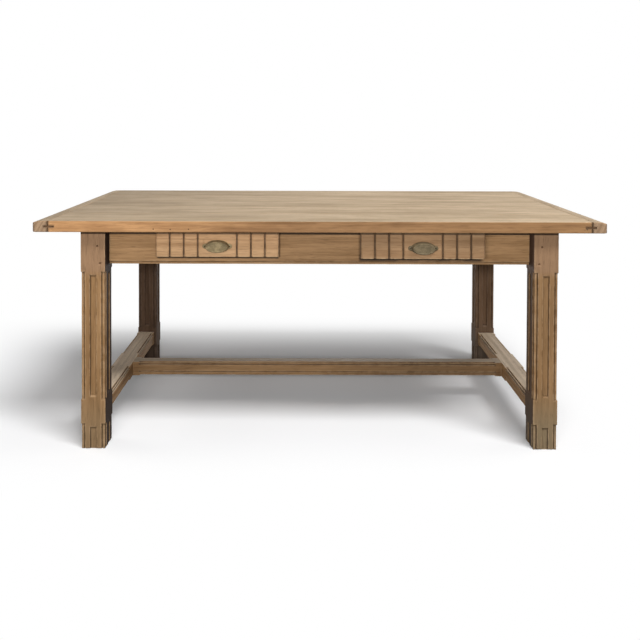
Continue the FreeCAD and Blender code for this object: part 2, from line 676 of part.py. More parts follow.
def bottom_nails(centre, clearance=0.0):
    """Nails up through the bottom panel into the drawer back."""
    diameter = BOTTOM_NAIL_DIAMETER + 2 * clearance
    middle_y = (BACK_FRONT_Y + BACK_REAR_Y) / 2
    length = DRAWER_BOTTOM_THICKNESS + BOTTOM_NAIL_GRIP
    first = centre - BOTTOM_NAIL_SPACING * (BOTTOM_NAIL_COUNT - 1) / 2
    nails = []
    for count in range(BOTTOM_NAIL_COUNT):
        start = Vector(first + count * BOTTOM_NAIL_SPACING, middle_y, PANEL_BOTTOM)
        nails.append(rod(start, Vector(0, 0, 1), diameter, length))
    return nails


def oval(centre, y, width, height):
    """Upright ellipse, wider than high, facing along Y."""
    ellipse = Part.Ellipse(Vector(0, 0, 0), width / 2, height / 2)
    wire = Part.Wire([ellipse.toShape()])
    wire.rotate(Vector(0, 0, 0), Vector(1, 0, 0), 90)
    wire.translate(Vector(centre, y, PULL_LEVEL))
    return wire


def cup_body(centre, shrink, back_y, front_y):
    """Tapered oval body of a cup, made smaller all round by shrink."""
    back = oval(centre, back_y, CUP_BACK_WIDTH - 2 * shrink, CUP_BACK_HEIGHT - 2 * shrink)
    front = oval(centre, front_y, CUP_FACE_WIDTH - 2 * shrink, CUP_FACE_HEIGHT - 2 * shrink)
    return Part.makeLoft([back, front], True)


def pull_flange(centre):
    """Back plate of a cup pull, with a round ear for a screw at each end."""
    back = FRONT_FACE_Y
    face = back - PULL_FLANGE_THICKNESS
    half_height = PULL_EAR_HEIGHT / 2
    reach = PULL_SCREW_OFFSET
    low_z = PULL_LEVEL - half_height
    high_z = PULL_LEVEL + half_height
    bar = block(centre - reach, centre + reach, face, back, low_z, high_z)
    ears = []
    for side in ENDS.values():
        start = Vector(centre + side * reach, back, PULL_LEVEL)
        ears.append(rod(start, Vector(0, -1, 0), PULL_EAR_HEIGHT, PULL_FLANGE_THICKNESS))
    plate = Part.Face(oval(centre, back, CUP_BACK_WIDTH, CUP_BACK_HEIGHT))
    plate = plate.extrude(Vector(0, -PULL_FLANGE_THICKNESS, 0))
    return joined([bar, plate] + ears)


def cup_pull(centre):
    """Cup pull: flange, tapered cup open below, and a flat oval face."""
    face_y = FRONT_FACE_Y - CUP_PROJECTION
    outer = cup_body(centre, 0.0, FRONT_FACE_Y, face_y)
    hollow = cup_body(centre, CUP_WALL, FRONT_FACE_Y, face_y + CUP_WALL)
    half = CUP_BACK_WIDTH / 2
    flange_y = FRONT_FACE_Y - PULL_FLANGE_THICKNESS
    mouth_top = PULL_LEVEL - CUP_MOUTH_DROP
    mouth_bottom = PULL_LEVEL - CUP_BACK_HEIGHT
    mouth_front = face_y + CUP_WALL
    mouth = block(centre - half, centre + half, mouth_front, flange_y, mouth_bottom, mouth_top)
    shell = joined([outer, pull_flange(centre)])
    return shell.cut([hollow, mouth] + pull_screws(centre, SCREW_CLEARANCE))


def pull_screws(centre, clearance=0.0):
    """Two round-headed screws through the ears into the drawer front."""
    diameter = PULL_SCREW_DIAMETER + 2 * clearance
    seat_y = FRONT_FACE_Y - PULL_FLANGE_THICKNESS
    length = PULL_FLANGE_THICKNESS + PULL_SCREW_GRIP + clearance
    screws = []
    for side in ENDS.values():
        seat = Vector(centre + side * PULL_SCREW_OFFSET, seat_y, PULL_LEVEL)
        shank = rod(seat, Vector(0, 1, 0), diameter, length)
        head = rod(seat, Vector(0, -1, 0), PULL_SCREW_HEAD, PULL_SCREW_HEAD_HEIGHT)
        screws.append(joined([shank, head]))
    return screws


def drawer_front(centre):
    """Reeded drawer front with housings for the sides and the bottom panel."""
    face = reeded_face(centre, FRONT_BACK_Y, FRONT_FACE_Y)
    face.translate(Vector(0, 0, FRONT_BOTTOM))
    front = face.extrude(Vector(0, 0, DRAWER_FRONT_HEIGHT))
    housings = [drawer_side(side, centre) for side in ENDS.values()]
    return front.cut(housings + [drawer_bottom(centre)] + pull_screws(centre, SCREW_CLEARANCE))


def drawer(name, centre, slide):
    """All the pieces of one drawer, by node name, pulled out along Y by slide."""
    nail_holes = bottom_nails(centre, SCREW_CLEARANCE)
    back = drawer_back(centre).cut(nail_holes)
    bottom = drawer_bottom(centre).cut(nail_holes)
    pieces = {
        f"{name}_drawer_front": drawer_front(centre),
        f"{name}_drawer_back": back,
        f"{name}_drawer_bottom": bottom,
        f"{name}_drawer_pull": cup_pull(centre),
        f"{name}_pull_screws": Part.makeCompound(pull_screws(centre)),
        f"{name}_bottom_nails": Part.makeCompound(bottom_nails(centre)),
    }
    for end, side in ENDS.items():
        board = drawer_side(side, centre)
        board = board.cut([drawer_back(centre), drawer_bottom(centre)])
        pieces[f"{name}_drawer_{end}_side"] = board
    for piece in pieces.values():
        piece.translate(Vector(0, slide, 0))
    return pieces


def runners_and_guides():
    """The runner and guide at each side of each drawer, by node name."""
    pieces = {}
    for name, (centre, _) in DRAWERS.items():
        for end, side in ENDS.items():
            pieces[f"{name}_drawer_{end}_runner"] = runner(side, centre)
            pieces[f"{name}_drawer_{end}_guide"] = guide(side, centre)
    return pieces


def top_pieces():
    """Planks, end boards and loose tongues of the tabletop, by node name."""
    pieces = {}
    for index in range(PLANK_COUNT):
        pieces[f"top_plank_{index + 1}"] = plank(index)
    for end, side_x in ENDS.items():
        pieces[f"{end}_end_board"] = end_board(side_x)
        pieces[f"{end}_end_spline"] = spline(side_x)
    return pieces


def frame_pieces():
    """Legs, rails, stretchers, pegs, buttons and screws, by node name."""
    runners = [runner(side, c) for c, _ in DRAWERS.values() for side in ENDS.values()]
    sockets = runners + buttons()
    rails = {
        "front_rail": long_rail(-1).cut(drawer_openings()),
        "back_rail": long_rail(1),
        "left_side_rail": side_rail(-1),
        "right_side_rail": side_rail(1),
    }
    stretchers = {
        "left_stretcher": side_stretcher(-1),
        "right_stretcher": side_stretcher(1),
        "long_stretcher": long_stretcher(),
    }
    side_stretchers = [stretchers["left_stretcher"], stretchers["right_stretcher"]]
    peg_holes = rail_pegs(-1, PEG_CLEARANCE) + rail_pegs(1, PEG_CLEARANCE)
    peg_holes += side_rail_pegs(PEG_CLEARANCE) + stretcher_pegs(PEG_CLEARANCE)
    tenons = list(rails.values()) + side_stretchers
    pieces = {}
    blank = leg_blank()
    for row, side_y in (("front", -1), ("back", 1)):
        for end, side_x in ENDS.items():
            place = Vector(side_x * LEG_CENTRE_X, side_y * LEG_CENTRE_Y, 0)
            pieces[f"{row}_{end}_leg"] = turned(blank, 0, place).cut(tenons + peg_holes)
    for name, rail in rails.items():
        pieces[name] = rail.cut(sockets + peg_holes)
    for name, stretcher in stretchers.items():
        pieces[name] = stretcher
    for name in ("left_stretcher", "right_stretcher"):
        pieces[name] = stretchers[name].cut([stretchers["long_stretcher"]] + peg_holes)
    pieces["front_rail_pegs"] = Part.makeCompound(rail_pegs(-1))
    pieces["back_rail_pegs"] = Part.makeCompound(rail_pegs(1))
    pieces["side_rail_pegs"] = Part.makeCompound(side_rail_pegs())
    pieces["stretcher_pegs"] = Part.makeCompound(stretcher_pegs())
    screw_holes = button_screws(SCREW_CLEARANCE)
    drilled = [button.cut(screw_holes) for button in buttons()]
    pieces["top_buttons"] = Part.makeCompound(drilled)
    pieces["button_screws"] = Part.makeCompound(button_screws())
    return pieces


def table_pieces():
    """Every piece of the table, by node name."""
    pieces = top_pieces()
    pieces.update(frame_pieces())
    pieces.update(runners_and_guides())
    for name, (centre, slide) in DRAWERS.items():
        pieces.update(drawer(name, centre, slide))
    return pieces


os.makedirs("parts", exist_ok=True)
for node, shape in table_pieces().items():
    shape.exportStep(f"parts/{node}.step")
    print(f"{node}: {len(shape.Solids)} solid(s), valid {shape.isValid()}, {shape.Volume:.0f} mm3")
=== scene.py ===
"""Looks of an oak kitchen table with two reeded drawers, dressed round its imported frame.

Lengths are in metres, in the frame's own axes: X along the table, -Y the drawer side, Z up.
"""

import logging
import math
import random
from dataclasses import dataclass, field, replace
from enum import Enum, StrEnum
from typing import ClassVar, Iterable, NamedTuple, Optional, Sequence, Union

import bmesh
import bpy
from mathutils import Matrix, Vector, kdtree, noise


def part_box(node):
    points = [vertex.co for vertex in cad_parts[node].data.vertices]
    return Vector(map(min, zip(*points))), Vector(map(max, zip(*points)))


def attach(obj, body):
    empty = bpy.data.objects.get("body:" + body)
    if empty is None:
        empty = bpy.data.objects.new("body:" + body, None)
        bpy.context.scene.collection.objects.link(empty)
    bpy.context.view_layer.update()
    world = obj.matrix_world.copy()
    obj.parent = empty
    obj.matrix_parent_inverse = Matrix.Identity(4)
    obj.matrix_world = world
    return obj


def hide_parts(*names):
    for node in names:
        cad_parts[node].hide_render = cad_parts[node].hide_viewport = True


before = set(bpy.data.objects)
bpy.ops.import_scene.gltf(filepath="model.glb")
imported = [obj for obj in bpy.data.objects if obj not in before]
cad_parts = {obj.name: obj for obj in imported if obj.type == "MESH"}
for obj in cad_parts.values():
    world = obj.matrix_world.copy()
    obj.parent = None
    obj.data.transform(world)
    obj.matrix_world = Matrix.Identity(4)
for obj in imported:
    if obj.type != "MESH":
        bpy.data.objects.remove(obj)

Colour = tuple[float, float, float]
Place = tuple[float, float, float]
Range = tuple[float, float]
Box = tuple[Vector, Vector]
Socket = bpy.types.NodeSocket
Outputs = bpy.types.NodeOutputs
Feed = Union[Socket, float, str, Sequence[float]]
EdgeSearch = tuple[kdtree.KDTree, list[Box]]

LOG = logging.getLogger("kitchen_table")
SEED = 1873
FRONT_PLANK = "top_plank_1"
# Angles past which an edge counts as sharp, for its wear and for its shading
SHARP_ANGLE = math.radians(30)
SMOOTH_ANGLE = math.radians(40)
# Limits under which faces count as one plane and points as one
FLAT_ANGLE = math.radians(0.5)
WELD = 1e-5
# Reach of a box on the sides where it has no end
BEYOND = 2.0
# Painted shadow below an overhang, as a dark strip: width in sight, drop for each metre of overhang, soft
# lower edge
SHADOW_LINE_WIDTH = 0.005
SHADOW_LINE_SLOPE = 0.18
SHADOW_LINE_FADE = 0.0015


def srgb(red: int, green: int, blue: int) -> Colour:
    """Linear colour for three screen values.

    Args:
        red: Screen red, 0 to 255.
        green: Screen green, 0 to 255.
        blue: Screen blue, 0 to 255.

    Returns:
        The linear colour that renders as those values in plain light.
    """
    values = (part / 255 for part in (red, green, blue))
    return tuple(v / 12.92 if v <= 0.04045 else ((v + 0.055) / 1.055) ** 2.4 for v in values)


class End(StrEnum):
    """A side of the table along X, by the word in the nodes' names."""

    LEFT = "left"
    RIGHT = "right"

    @property
    def other(self) -> "End":
        """The opposite side."""
        return End.RIGHT if self is End.LEFT else End.LEFT

    def of(self, box: Box) -> float:
        """Where a box ends on this side."""
        return box[0].x if self is End.LEFT else box[1].x


class Row(StrEnum):
    """A side of the table along Y, by the word in the nodes' names."""

    FRONT = "front"
    BACK = "back"

    def of(self, box: Box) -> float:
        """Where a box ends on this side."""
        return box[0].y if self is Row.FRONT else box[1].y


class Grain(Enum):
    """Which way the fibres of a piece run, as an axis and the turn that lays them along X."""

    ALONG_TABLE = (0, (0.0, 0.0, 0.0))
    ACROSS_TABLE = (1, (0.0, 0.0, -math.pi / 2))
    UPRIGHT = (2, (0.0, math.pi / 2, 0.0))

    @property
    def axis(self) -> int:
        """Number of the axis that the fibres follow."""
        return self.value[0]

    @property
    def turn(self) -> Place:
        """Rotation that lays the fibres along X."""
        return self.value[1]


class HeadSide(Enum):
    """Where the visible end of a fastener points."""

    OUTWARD = "away from the middle of the table"
    DOWN = "towards the floor"


class NoiseLayer(NamedTuple):
    """A cloudy pattern: its patches per metre along each axis, and its finer layers."""

    scale: tuple[float, float, float]
    detail: float = 2.0
    rough: float = 0.5


class NodeSheet:
    """Adds and links the nodes of one tree with short calls."""

    # Places of a Mix node's colour sockets, which share their names with others
    MIX_COLOURS = (6, 7)
    MIX_RESULT = 2

    def __init__(self, tree: bpy.types.NodeTree) -> None:
        """Keep the tree that the nodes go into."""
        self.tree = tree

    def add(self, kind: str, feeds: Optional[dict[str, Feed]] = None, **settings: object) -> bpy.types.Node:
        """Add one node.

        Args:
            kind: Blender's name for the node type.
            feeds: What the node's inputs get, by their names.
            settings: Properties to set on the node.

        Returns:
            The new node.
        """
        node = self.tree.nodes.new(kind)
        for name, value in settings.items():
            setattr(node, name, value)
        for name, value in (feeds or {}).items():
            self.feed(node.inputs[name], value)
        return node

    def feed(self, socket: Socket, value: Feed) -> None:
        """Link a socket to another, or set its value.

        Args:
            socket: The input that is fed.
            value: An output to link, or a plain value; a colour may leave out its alpha.
        """
        if isinstance(value, Socket):
            self.tree.links.new(value, socket)
        elif isinstance(value, tuple) and len(value) < len(socket.default_value):
            socket.default_value = (*value, 1.0)
        else:
            socket.default_value = value

    def math(self, operation: str, *values: Feed, clamp: bool = False) -> Socket:
        """Do one arithmetic step.

        Args:
            operation: Blender's name for the step.
            values: What it works on, one to three of them.
            clamp: Whether the result is kept between 0 and 1.

        Returns:
            The result.
        """
        node = self.add("ShaderNodeMath", operation=operation, use_clamp=clamp)
        for socket, value in zip(node.inputs, values):
            self.feed(socket, value)
        return node.outputs[0]

    def vector(self, operation: str, *values: Feed) -> Socket:
        """Do one vector step.

        Args:
            operation: Blender's name for the step.
            values: The vectors that it works on.

        Returns:
            The resulting vector.
        """
        node = self.add("ShaderNodeVectorMath", operation=operation)
        for socket, value in zip(node.inputs, values):
            self.feed(socket, value)
        return node.outputs[0]

    def split(self, vector: Socket) -> Outputs:
        """The three parts of a vector."""
        return self.add("ShaderNodeSeparateXYZ", {"Vector": vector}).outputs

    def join(self, x: Feed, y: Feed, z: Feed) -> Socket:
        """The vector with three given parts."""
        return self.add("ShaderNodeCombineXYZ", {"X": x, "Y": y, "Z": z}).outputs[0]

    def mix(self, factor: Feed, first: Feed, second: Feed, blend: str = "MIX") -> Socket:
        """Blend two colours.

        Args:
            factor: Share of the second colour.
            first: The colour that is covered.
            second: The colour that covers it.
            blend: Blender's name for the way of blending.

        Returns:
            The blended colour.
        """
        node = self.add("ShaderNodeMix", data_type="RGBA", blend_type=blend, clamp_factor=True)
        self.feed(node.inputs[0], factor)
        for index, colour in zip(self.MIX_COLOURS, (first, second)):
            self.feed(node.inputs[index], colour)
        return node.outputs[self.MIX_RESULT]

    def remap(self, value: Feed, given: Range, wanted: Range = (0.0, 1.0)) -> Socket:
        """Ease a value from one range to another, and keep it inside.

        Args:
            value: What is eased.
            given: The range that it has.
            wanted: The range that it gets.

        Returns:
            The eased value.
        """
        names = ("From Min", "From Max", "To Min", "To Max")
        feeds = {"Value": value, **dict(zip(names, (*given, *wanted)))}
        return self.add("ShaderNodeMapRange", feeds, interpolation_type="SMOOTHSTEP").outputs["Result"]

    def noise(self, vector: Feed, layer: NoiseLayer) -> Socket:
        """Lay a cloudy pattern over coordinates.

        Args:
            vector: Coordinates in metres.
            layer: The pattern.

        Returns:
            A value about 0.5.
        """
        stretched = self.vector("MULTIPLY", vector, layer.scale)
        feeds = {"Vector": stretched, "Scale": 1.0, "Detail": layer.detail, "Roughness": layer.rough}
        return self.add("ShaderNodeTexNoise", feeds, noise_dimensions="3D").outputs["Fac"]

    def bands(self, distance: Feed) -> Socket:
        """Uneven bands, about one for each unit of a distance."""
        feeds = {"W": distance, "Scale": 1.0, "Detail": 2.0}
        return self.add("ShaderNodeTexNoise", feeds, noise_dimensions="1D").outputs["Fac"]

    def attribute(self, name: str) -> Outputs:
        """What a node reads from one attribute of the mesh."""
        return self.add("ShaderNodeAttribute", attribute_name=name).outputs

    def bump(self, height: Socket, strength: float, depth: float) -> Socket:
        """The normal of a surface that rises and falls with a height."""
        feeds = {"Height": height, "Strength": strength, "Distance": depth}
        return self.add("ShaderNodeBump", feeds).outputs[0]

    def group(self, tree: bpy.types.NodeTree, **inputs: Feed) -> Outputs:
        """The outputs of a placed node group, with underscores for spaces in its inputs' names."""
        feeds = {name.replace("_", " "): value for name, value in inputs.items()}
        return self.add("ShaderNodeGroup", feeds, node_tree=tree).outputs


class ShaderEffect:
    """A shader node group that is built once and placed in many materials."""

    name = ""
    inputs: dict[str, str] = {}
    outputs: Sequence[str] = ()

    @classmethod
    def tree(cls) -> bpy.types.NodeTree:
        """Look up the group's tree, or build it at the first call.

        Returns:
            The tree.
        """
        known = bpy.data.node_groups.get(cls.name)
        if known:
            return known
        tree = bpy.data.node_groups.new(cls.name, "ShaderNodeTree")
        for name, kind in cls.inputs.items():
            tree.interface.new_socket(name, in_out="INPUT", socket_type=kind)
        for name in cls.outputs:
            tree.interface.new_socket(name, in_out="OUTPUT", socket_type="NodeSocketFloat")
        sheet = NodeSheet(tree)
        results = cls.wire(sheet, sheet.add("NodeGroupInput").outputs)
        sheet.add("NodeGroupOutput", dict(zip(cls.outputs, results)))
        return tree

    @classmethod
    def wire(cls, sheet: NodeSheet, source: Outputs) -> Sequence[Socket]:
        """Build the group's nodes.

        Args:
            sheet: Where the nodes go.
            source: The group's inputs.

        Returns:
            One socket for each of the group's outputs.
        """
        raise NotImplementedError


class OakFigure(ShaderEffect):
    """Growth bands, fibres and pores of oak, with the fibres along X."""

    name = "oak_figure"
    inputs = {"Vector": "NodeSocketVector", "Ring Pitch": "NodeSocketFloat", "Waver": "NodeSocketFloat"}
    outputs = ("Bands", "Streaks", "Fibres", "Pores", "Clouds")
    bend = NoiseLayer((0.8, 3.5, 3.5))
    wide_streaks = NoiseLayer((1.6, 42.0, 42.0), 3.0, 0.6)
    narrow_streaks = NoiseLayer((4.0, 150.0, 150.0), 2.0, 0.55)
    fibres = NoiseLayer((11.0, 360.0, 360.0), 2.0, 0.6)
    pores = NoiseLayer((26.0, 820.0, 820.0), 1.0)
    broad_clouds = NoiseLayer((1.2, 7.0, 7.0), 3.0, 0.55)
    small_clouds = NoiseLayer((4.5, 17.0, 17.0), 3.0, 0.6)
    band_range = (0.3, 0.7)
    pore_range = (0.58, 0.72)
    pair_range = (0.72, 1.28)

    @classmethod
    def wire(cls, sheet: NodeSheet, source: Outputs) -> Sequence[Socket]:
        """Build the figure from rings round a heart that lies beside the board.

        Args:
            sheet: Where the nodes go.
            source: The group's inputs.

        Returns:
            One socket for each of the group's outputs.
        """
        place = source["Vector"]
        _, across, up = sheet.split(place)
        squares = [sheet.math("MULTIPLY", part, part) for part in (across, up)]
        radius = sheet.math("SQRT", sheet.math("ADD", *squares))
        bend = sheet.math("SUBTRACT", sheet.noise(place, cls.bend), 0.5)
        ring = sheet.math("MULTIPLY_ADD", bend, source["Waver"], radius)
        ring = sheet.math("DIVIDE", ring, source["Ring Pitch"])
        bands = sheet.remap(sheet.bands(ring), cls.band_range)
        fibres = sheet.noise(place, cls.fibres)
        pores = sheet.remap(sheet.noise(place, cls.pores), cls.pore_range)
        pairs = ((cls.wide_streaks, cls.narrow_streaks), (cls.broad_clouds, cls.small_clouds))
        sums = [sheet.math("ADD", *(sheet.noise(place, layer) for layer in pair)) for pair in pairs]
        streaks, clouds = (sheet.remap(total, cls.pair_range) for total in sums)
        return bands, streaks, fibres, pores, clouds


class EdgeAge(ShaderEffect):
    """Rubbed outer edges, and inner corners darkened as dirt and as painted shade, from a mesh's own edge
    distances.
    """

    name = "edge_age"
    inputs = {
        "Vector": "NodeSocketVector",
        "Outer": "NodeSocketFloat",
        "Inner": "NodeSocketFloat",
        "Rub Width": "NodeSocketFloat",
        "Grime Width": "NodeSocketFloat",
    }
    outputs = ("Rubbed", "Grime")
    rub_patches = NoiseLayer((38.0, 38.0, 38.0), 3.0, 0.6)
    rub_range = (0.34, 0.62)
    # Patches that break up the darkening of inner corners, which is partly dirt and partly painted shade
    dirt_patches = NoiseLayer((16.0, 16.0, 16.0), 3.0, 0.6)
    dirt_range = (0.25, 0.6)
    dirt_strengths = (0.45, 1.0)

    @classmethod
    def wire(cls, sheet: NodeSheet, source: Outputs) -> Sequence[Socket]:
        """Build two masks that are broken up by patchy noise.

        Args:
            sheet: Where the nodes go.
            source: The group's inputs.

        Returns:
            One socket for each of the group's outputs.
        """
        near_edge, near_nook = (
            sheet.math("SUBTRACT", 1.0, sheet.math("DIVIDE", source[distance], source[width]), clamp=True)
            for distance, width in (("Outer", "Rub Width"), ("Inner", "Grime Width"))
        )
        rub_patch = sheet.remap(sheet.noise(source["Vector"], cls.rub_patches), cls.rub_range)
        darkening = sheet.noise(source["Vector"], cls.dirt_patches)
        darkening_patch = sheet.remap(darkening, cls.dirt_range, cls.dirt_strengths)
        return sheet.math("MULTIPLY", near_edge, rub_patch), sheet.math("MULTIPLY", near_nook, darkening_patch)


class Patina(ShaderEffect):
    """Dull blotches and pits on old metal."""

    name = "metal_patina"
    inputs = {"Vector": "NodeSocketVector", "Size": "NodeSocketFloat"}
    outputs = ("Blotch", "Pits")
    blotches = NoiseLayer((1.0, 1.0, 1.0), 4.0, 0.62)
    blotch_range = (0.34, 0.66)
    pits = NoiseLayer((9.0, 9.0, 9.0))
    pit_range = (0.55, 0.75)

    @classmethod
    def wire(cls, sheet: NodeSheet, source: Outputs) -> Sequence[Socket]:
        """Build a broad mask and a fine one.

        Args:
            sheet: Where the nodes go.
            source: The group's inputs.

        Returns:
            One socket for each of the group's outputs.
        """
        place = sheet.vector("DIVIDE", source["Vector"], source["Size"])
        blotch = sheet.remap(sheet.noise(place, cls.blotches), cls.blotch_range)
        pits = sheet.remap(sheet.noise(place, cls.pits), cls.pit_range)
        return blotch, pits


def new_surface(title: str) -> tuple[bpy.types.Material, NodeSheet]:
    """Make an empty material.

    Args:
        title: Name of the material.

    Returns:
        The material, and the sheet for its nodes.
    """
    material = bpy.data.materials.new(title)
    material.use_nodes = True
    material.node_tree.nodes.clear()
    return material, NodeSheet(material.node_tree)


@dataclass(frozen=True)
class OakFinish:
    """One finish of the oak, as colours, strengths and the ranges of slope or level that they take."""

    name: str
    pale: Colour
    deep: Colour
    pore: Colour
    rubbed: Colour
    grime: Colour
    faded_pale: Colour
    faded_deep: Colour
    end_pale: Colour = srgb(160, 133, 106)
    end_deep: Colour = srgb(138, 112, 87)
    end_facing: Range = (0.6, 0.9)
    mottle: tuple[float, float, float] = (0.28, 0.38, 0.34)
    fading: float = 0.6
    up_facing: Range = (0.72, 0.97)
    # Painted shade: colour multiplied into the faces that look towards the middle of the table
    inward_tint: Optional[Colour] = None
    inward_facing: tuple[Range, Range] = ((0.3, 0.6), (0.15, 0.3))
    # Colour that the legs take towards the floor, darker and greyer there
    scuff: Colour = srgb(138, 119, 92)
    scuff_strength: float = 0.0
    scuff_levels: Range = (0.04, 0.24)
    block: Colour = srgb(152, 123, 101)
    block_strength: float = 0.0
    block_levels: Range = (0.57, 0.61)
    gloss_level: float = 0.3
    roughness: float = 0.62
    roughness_spread: float = 0.3
    ring_pitch: float = 0.011
    waver: float = 0.09
    rub_width: float = 0.005
    rub_strength: float = 0.55
    # Darkening of inner corners and given boxes: dirt, and painted shade in grooves, corners and under
    # overhangs
    grime_width: float = 0.0045
    grime_strength: float = 0.8
    # Painted shadow below overhangs: its colour and strength
    line: Colour = srgb(30, 22, 16)
    line_strength: float = 0.85
    pore_strength: float = 0.45
    band_relief: float = 0.4
    bump: float = 0.35
    bump_depth: float = 0.0008

    def material(self, grain: Grain) -> bpy.types.Material:
        """Material for one direction of the fibres.

        Args:
            grain: Which way the fibres of the piece run.

        Returns:
            The material, made at the first call.
        """
        title = f"{self.name}_{grain.name.lower()}"
        known = bpy.data.materials.get(title)
        if known:
            return known
        material, sheet = new_surface(title)
        shader = sheet.add("ShaderNodeBsdfPrincipled", {"Specular IOR Level": self.gloss_level})
        sheet.add("ShaderNodeOutputMaterial", {"Surface": shader.outputs[0]})
        place = sheet.add("ShaderNodeTexCoord").outputs
        shifted = sheet.vector("ADD", place["Object"], sheet.attribute("grain_shift")["Vector"])
        laid = sheet.add("ShaderNodeMapping", {"Vector": shifted, "Rotation": grain.turn}).outputs[0]
        figure = sheet.group(OakFigure.tree(), Vector=laid, Ring_Pitch=self.ring_pitch, Waver=self.waver)
        age = sheet.group(
            EdgeAge.tree(),
            Vector=shifted,
            Outer=sheet.attribute("arris")["Fac"],
            Inner=sheet.attribute("nook")["Fac"],
            Rub_Width=self.rub_width,
            Grime_Width=self.grime_width,
        )
        sheet.feed(shader.inputs["Base Color"], self._colour(sheet, figure, age, place, grain))
        smoothest = self.roughness - self.roughness_spread / 2
        dull = sheet.math("MULTIPLY_ADD", figure["Fibres"], self.roughness_spread, smoothest)
        sheet.feed(shader.inputs["Roughness"], dull)
        sheet.feed(shader.inputs["Normal"], self._relief(sheet, figure))
        return material

    def _colour(
        self, sheet: NodeSheet, figure: Outputs, age: Outputs, place: Outputs, grain: Grain
    ) -> Socket:
        """Colour of the wood from its figure, its fading and its age.

        Args:
            sheet: Where the nodes go.
            figure: Outputs of the oak's figure.
            age: Outputs of the edges' age.
            place: Outputs of the texture coordinates.
            grain: Which way the fibres run.

        Returns:
            The finished colour.
        """
        normal = sheet.split(place["Normal"])
        spot = sheet.split(place["Object"])
        mottle = 0.0
        for pattern, share in zip(("Bands", "Streaks", "Clouds"), self.mottle):
            mottle = sheet.math("MULTIPLY_ADD", figure[pattern], share, mottle)
        warm = sheet.mix(mottle, self.pale, self.deep)
        along = sheet.math("ABSOLUTE", normal[grain.axis])
        ends = sheet.mix(figure["Bands"], self.end_pale, self.end_deep)
        warm = sheet.mix(sheet.remap(along, self.end_facing), warm, ends)
        warm = self._shaded(sheet, warm, "tone")
        # Darker and greyer towards the floor
        if self.scuff_strength:
            low = sheet.remap(spot["Z"], self.scuff_levels, (self.scuff_strength, 0.0))
            warm = sheet.mix(low, warm, self.scuff)
        if self.block_strength:
            high = sheet.remap(spot["Z"], self.block_levels, (0.0, self.block_strength))
            warm = sheet.mix(high, warm, self.block)
        faded = self._shaded(sheet, sheet.mix(mottle, self.faded_pale, self.faded_deep), "top_tone")
        facing = sheet.math("MULTIPLY", sheet.remap(normal["Z"], self.up_facing), self.fading)
        colour = sheet.mix(facing, warm, faded)
        # Pores, rubbed edges, inner corners darkened as dirt and as painted shade, and painted shadow below
        # overhangs
        for mask, strength, shade in (
            (figure["Pores"], self.pore_strength, self.pore),
            (age["Rubbed"], self.rub_strength, self.rubbed),
            (age["Grime"], self.grime_strength, self.grime),
            (sheet.attribute("line")["Fac"], self.line_strength, self.line),
        ):
            colour = sheet.mix(sheet.math("MULTIPLY", mask, strength), colour, shade)
        # Painted shade on the faces that look towards the middle of the table
        if self.inward_tint:
            colour = sheet.mix(self._inward(sheet, normal, spot), colour, self.inward_tint, "MULTIPLY")
        return colour

    def _inward(self, sheet: NodeSheet, normal: Outputs, spot: Outputs) -> Socket:
        """Mask of the faces that look towards the middle of the table, where shade is painted.

        Args:
            sheet: Where the nodes go.
            normal: Parts of the surface's direction.
            spot: Parts of the surface's place.

        Returns:
            One on those faces, zero on the others.
        """
        masks = []
        for axis, facing in zip("XY", self.inward_facing):
            outward = sheet.math("MULTIPLY", normal[axis], spot[axis])
            masks.append(sheet.remap(sheet.math("MULTIPLY", outward, -1.0), facing))
        return sheet.math("MAXIMUM", *masks)

    @staticmethod
    def _shaded(sheet: NodeSheet, colour: Socket, attribute: str) -> Socket:
        """Make a colour lighter or darker by one attribute of the mesh.

        Args:
            sheet: Where the nodes go.
            colour: The colour at a tone of zero.
            attribute: Name of the attribute that holds the tone.

        Returns:
            The shaded colour.
        """
        value = sheet.math("ADD", sheet.attribute(attribute)["Fac"], 1.0)
        return sheet.add("ShaderNodeHueSaturation", {"Value": value, "Color": colour}).outputs["Color"]

    def _relief(self, sheet: NodeSheet, figure: Outputs) -> Socket:
        """Raise the fibres and sink the pores.

        Args:
            sheet: Where the nodes go.
            figure: Outputs of the oak's figure.

        Returns:
            The normal of the uneven surface.
        """
        height = sheet.math("MULTIPLY_ADD", figure["Bands"], self.band_relief, figure["Fibres"])
        height = sheet.math("SUBTRACT", height, figure["Pores"])
        return sheet.bump(height, self.bump, self.bump_depth)


@dataclass(frozen=True)
class MetalFinish:
    """Old brass or steel, dulled in blotches."""

    name: str
    bright: Colour
    dull: Colour
    pit: Colour
    metallic: float = 0.12
    gloss_level: float = 0.2
    roughness: Range = (0.47, 0.69)
    blotch_size: float = 0.016
    bump: float = 0.25
    bump_depth: float = 0.0003

    def material(self) -> bpy.types.Material:
        """Look up the metal's material, or make it at the first call.

        Returns:
            The material.
        """
        title = f"{self.name}_metal"
        known = bpy.data.materials.get(title)
        if known:
            return known
        material, sheet = new_surface(title)
        place = sheet.add("ShaderNodeTexCoord").outputs["Object"]
        patina = sheet.group(Patina.tree(), Vector=place, Size=self.blotch_size)
        colour = sheet.mix(patina["Blotch"], self.bright, self.dull)
        height = sheet.math("SUBTRACT", patina["Blotch"], patina["Pits"])
        feeds = {
            "Base Color": sheet.mix(patina["Pits"], colour, self.pit),
            "Metallic": self.metallic,
            "Specular IOR Level": self.gloss_level,
            "Roughness": sheet.remap(patina["Blotch"], (0.0, 1.0), self.roughness),
            "Normal": sheet.bump(height, self.bump, self.bump_depth),
        }
        shader = sheet.add("ShaderNodeBsdfPrincipled", feeds)
        sheet.add("ShaderNodeOutputMaterial", {"Surface": shader.outputs[0]})
        return material


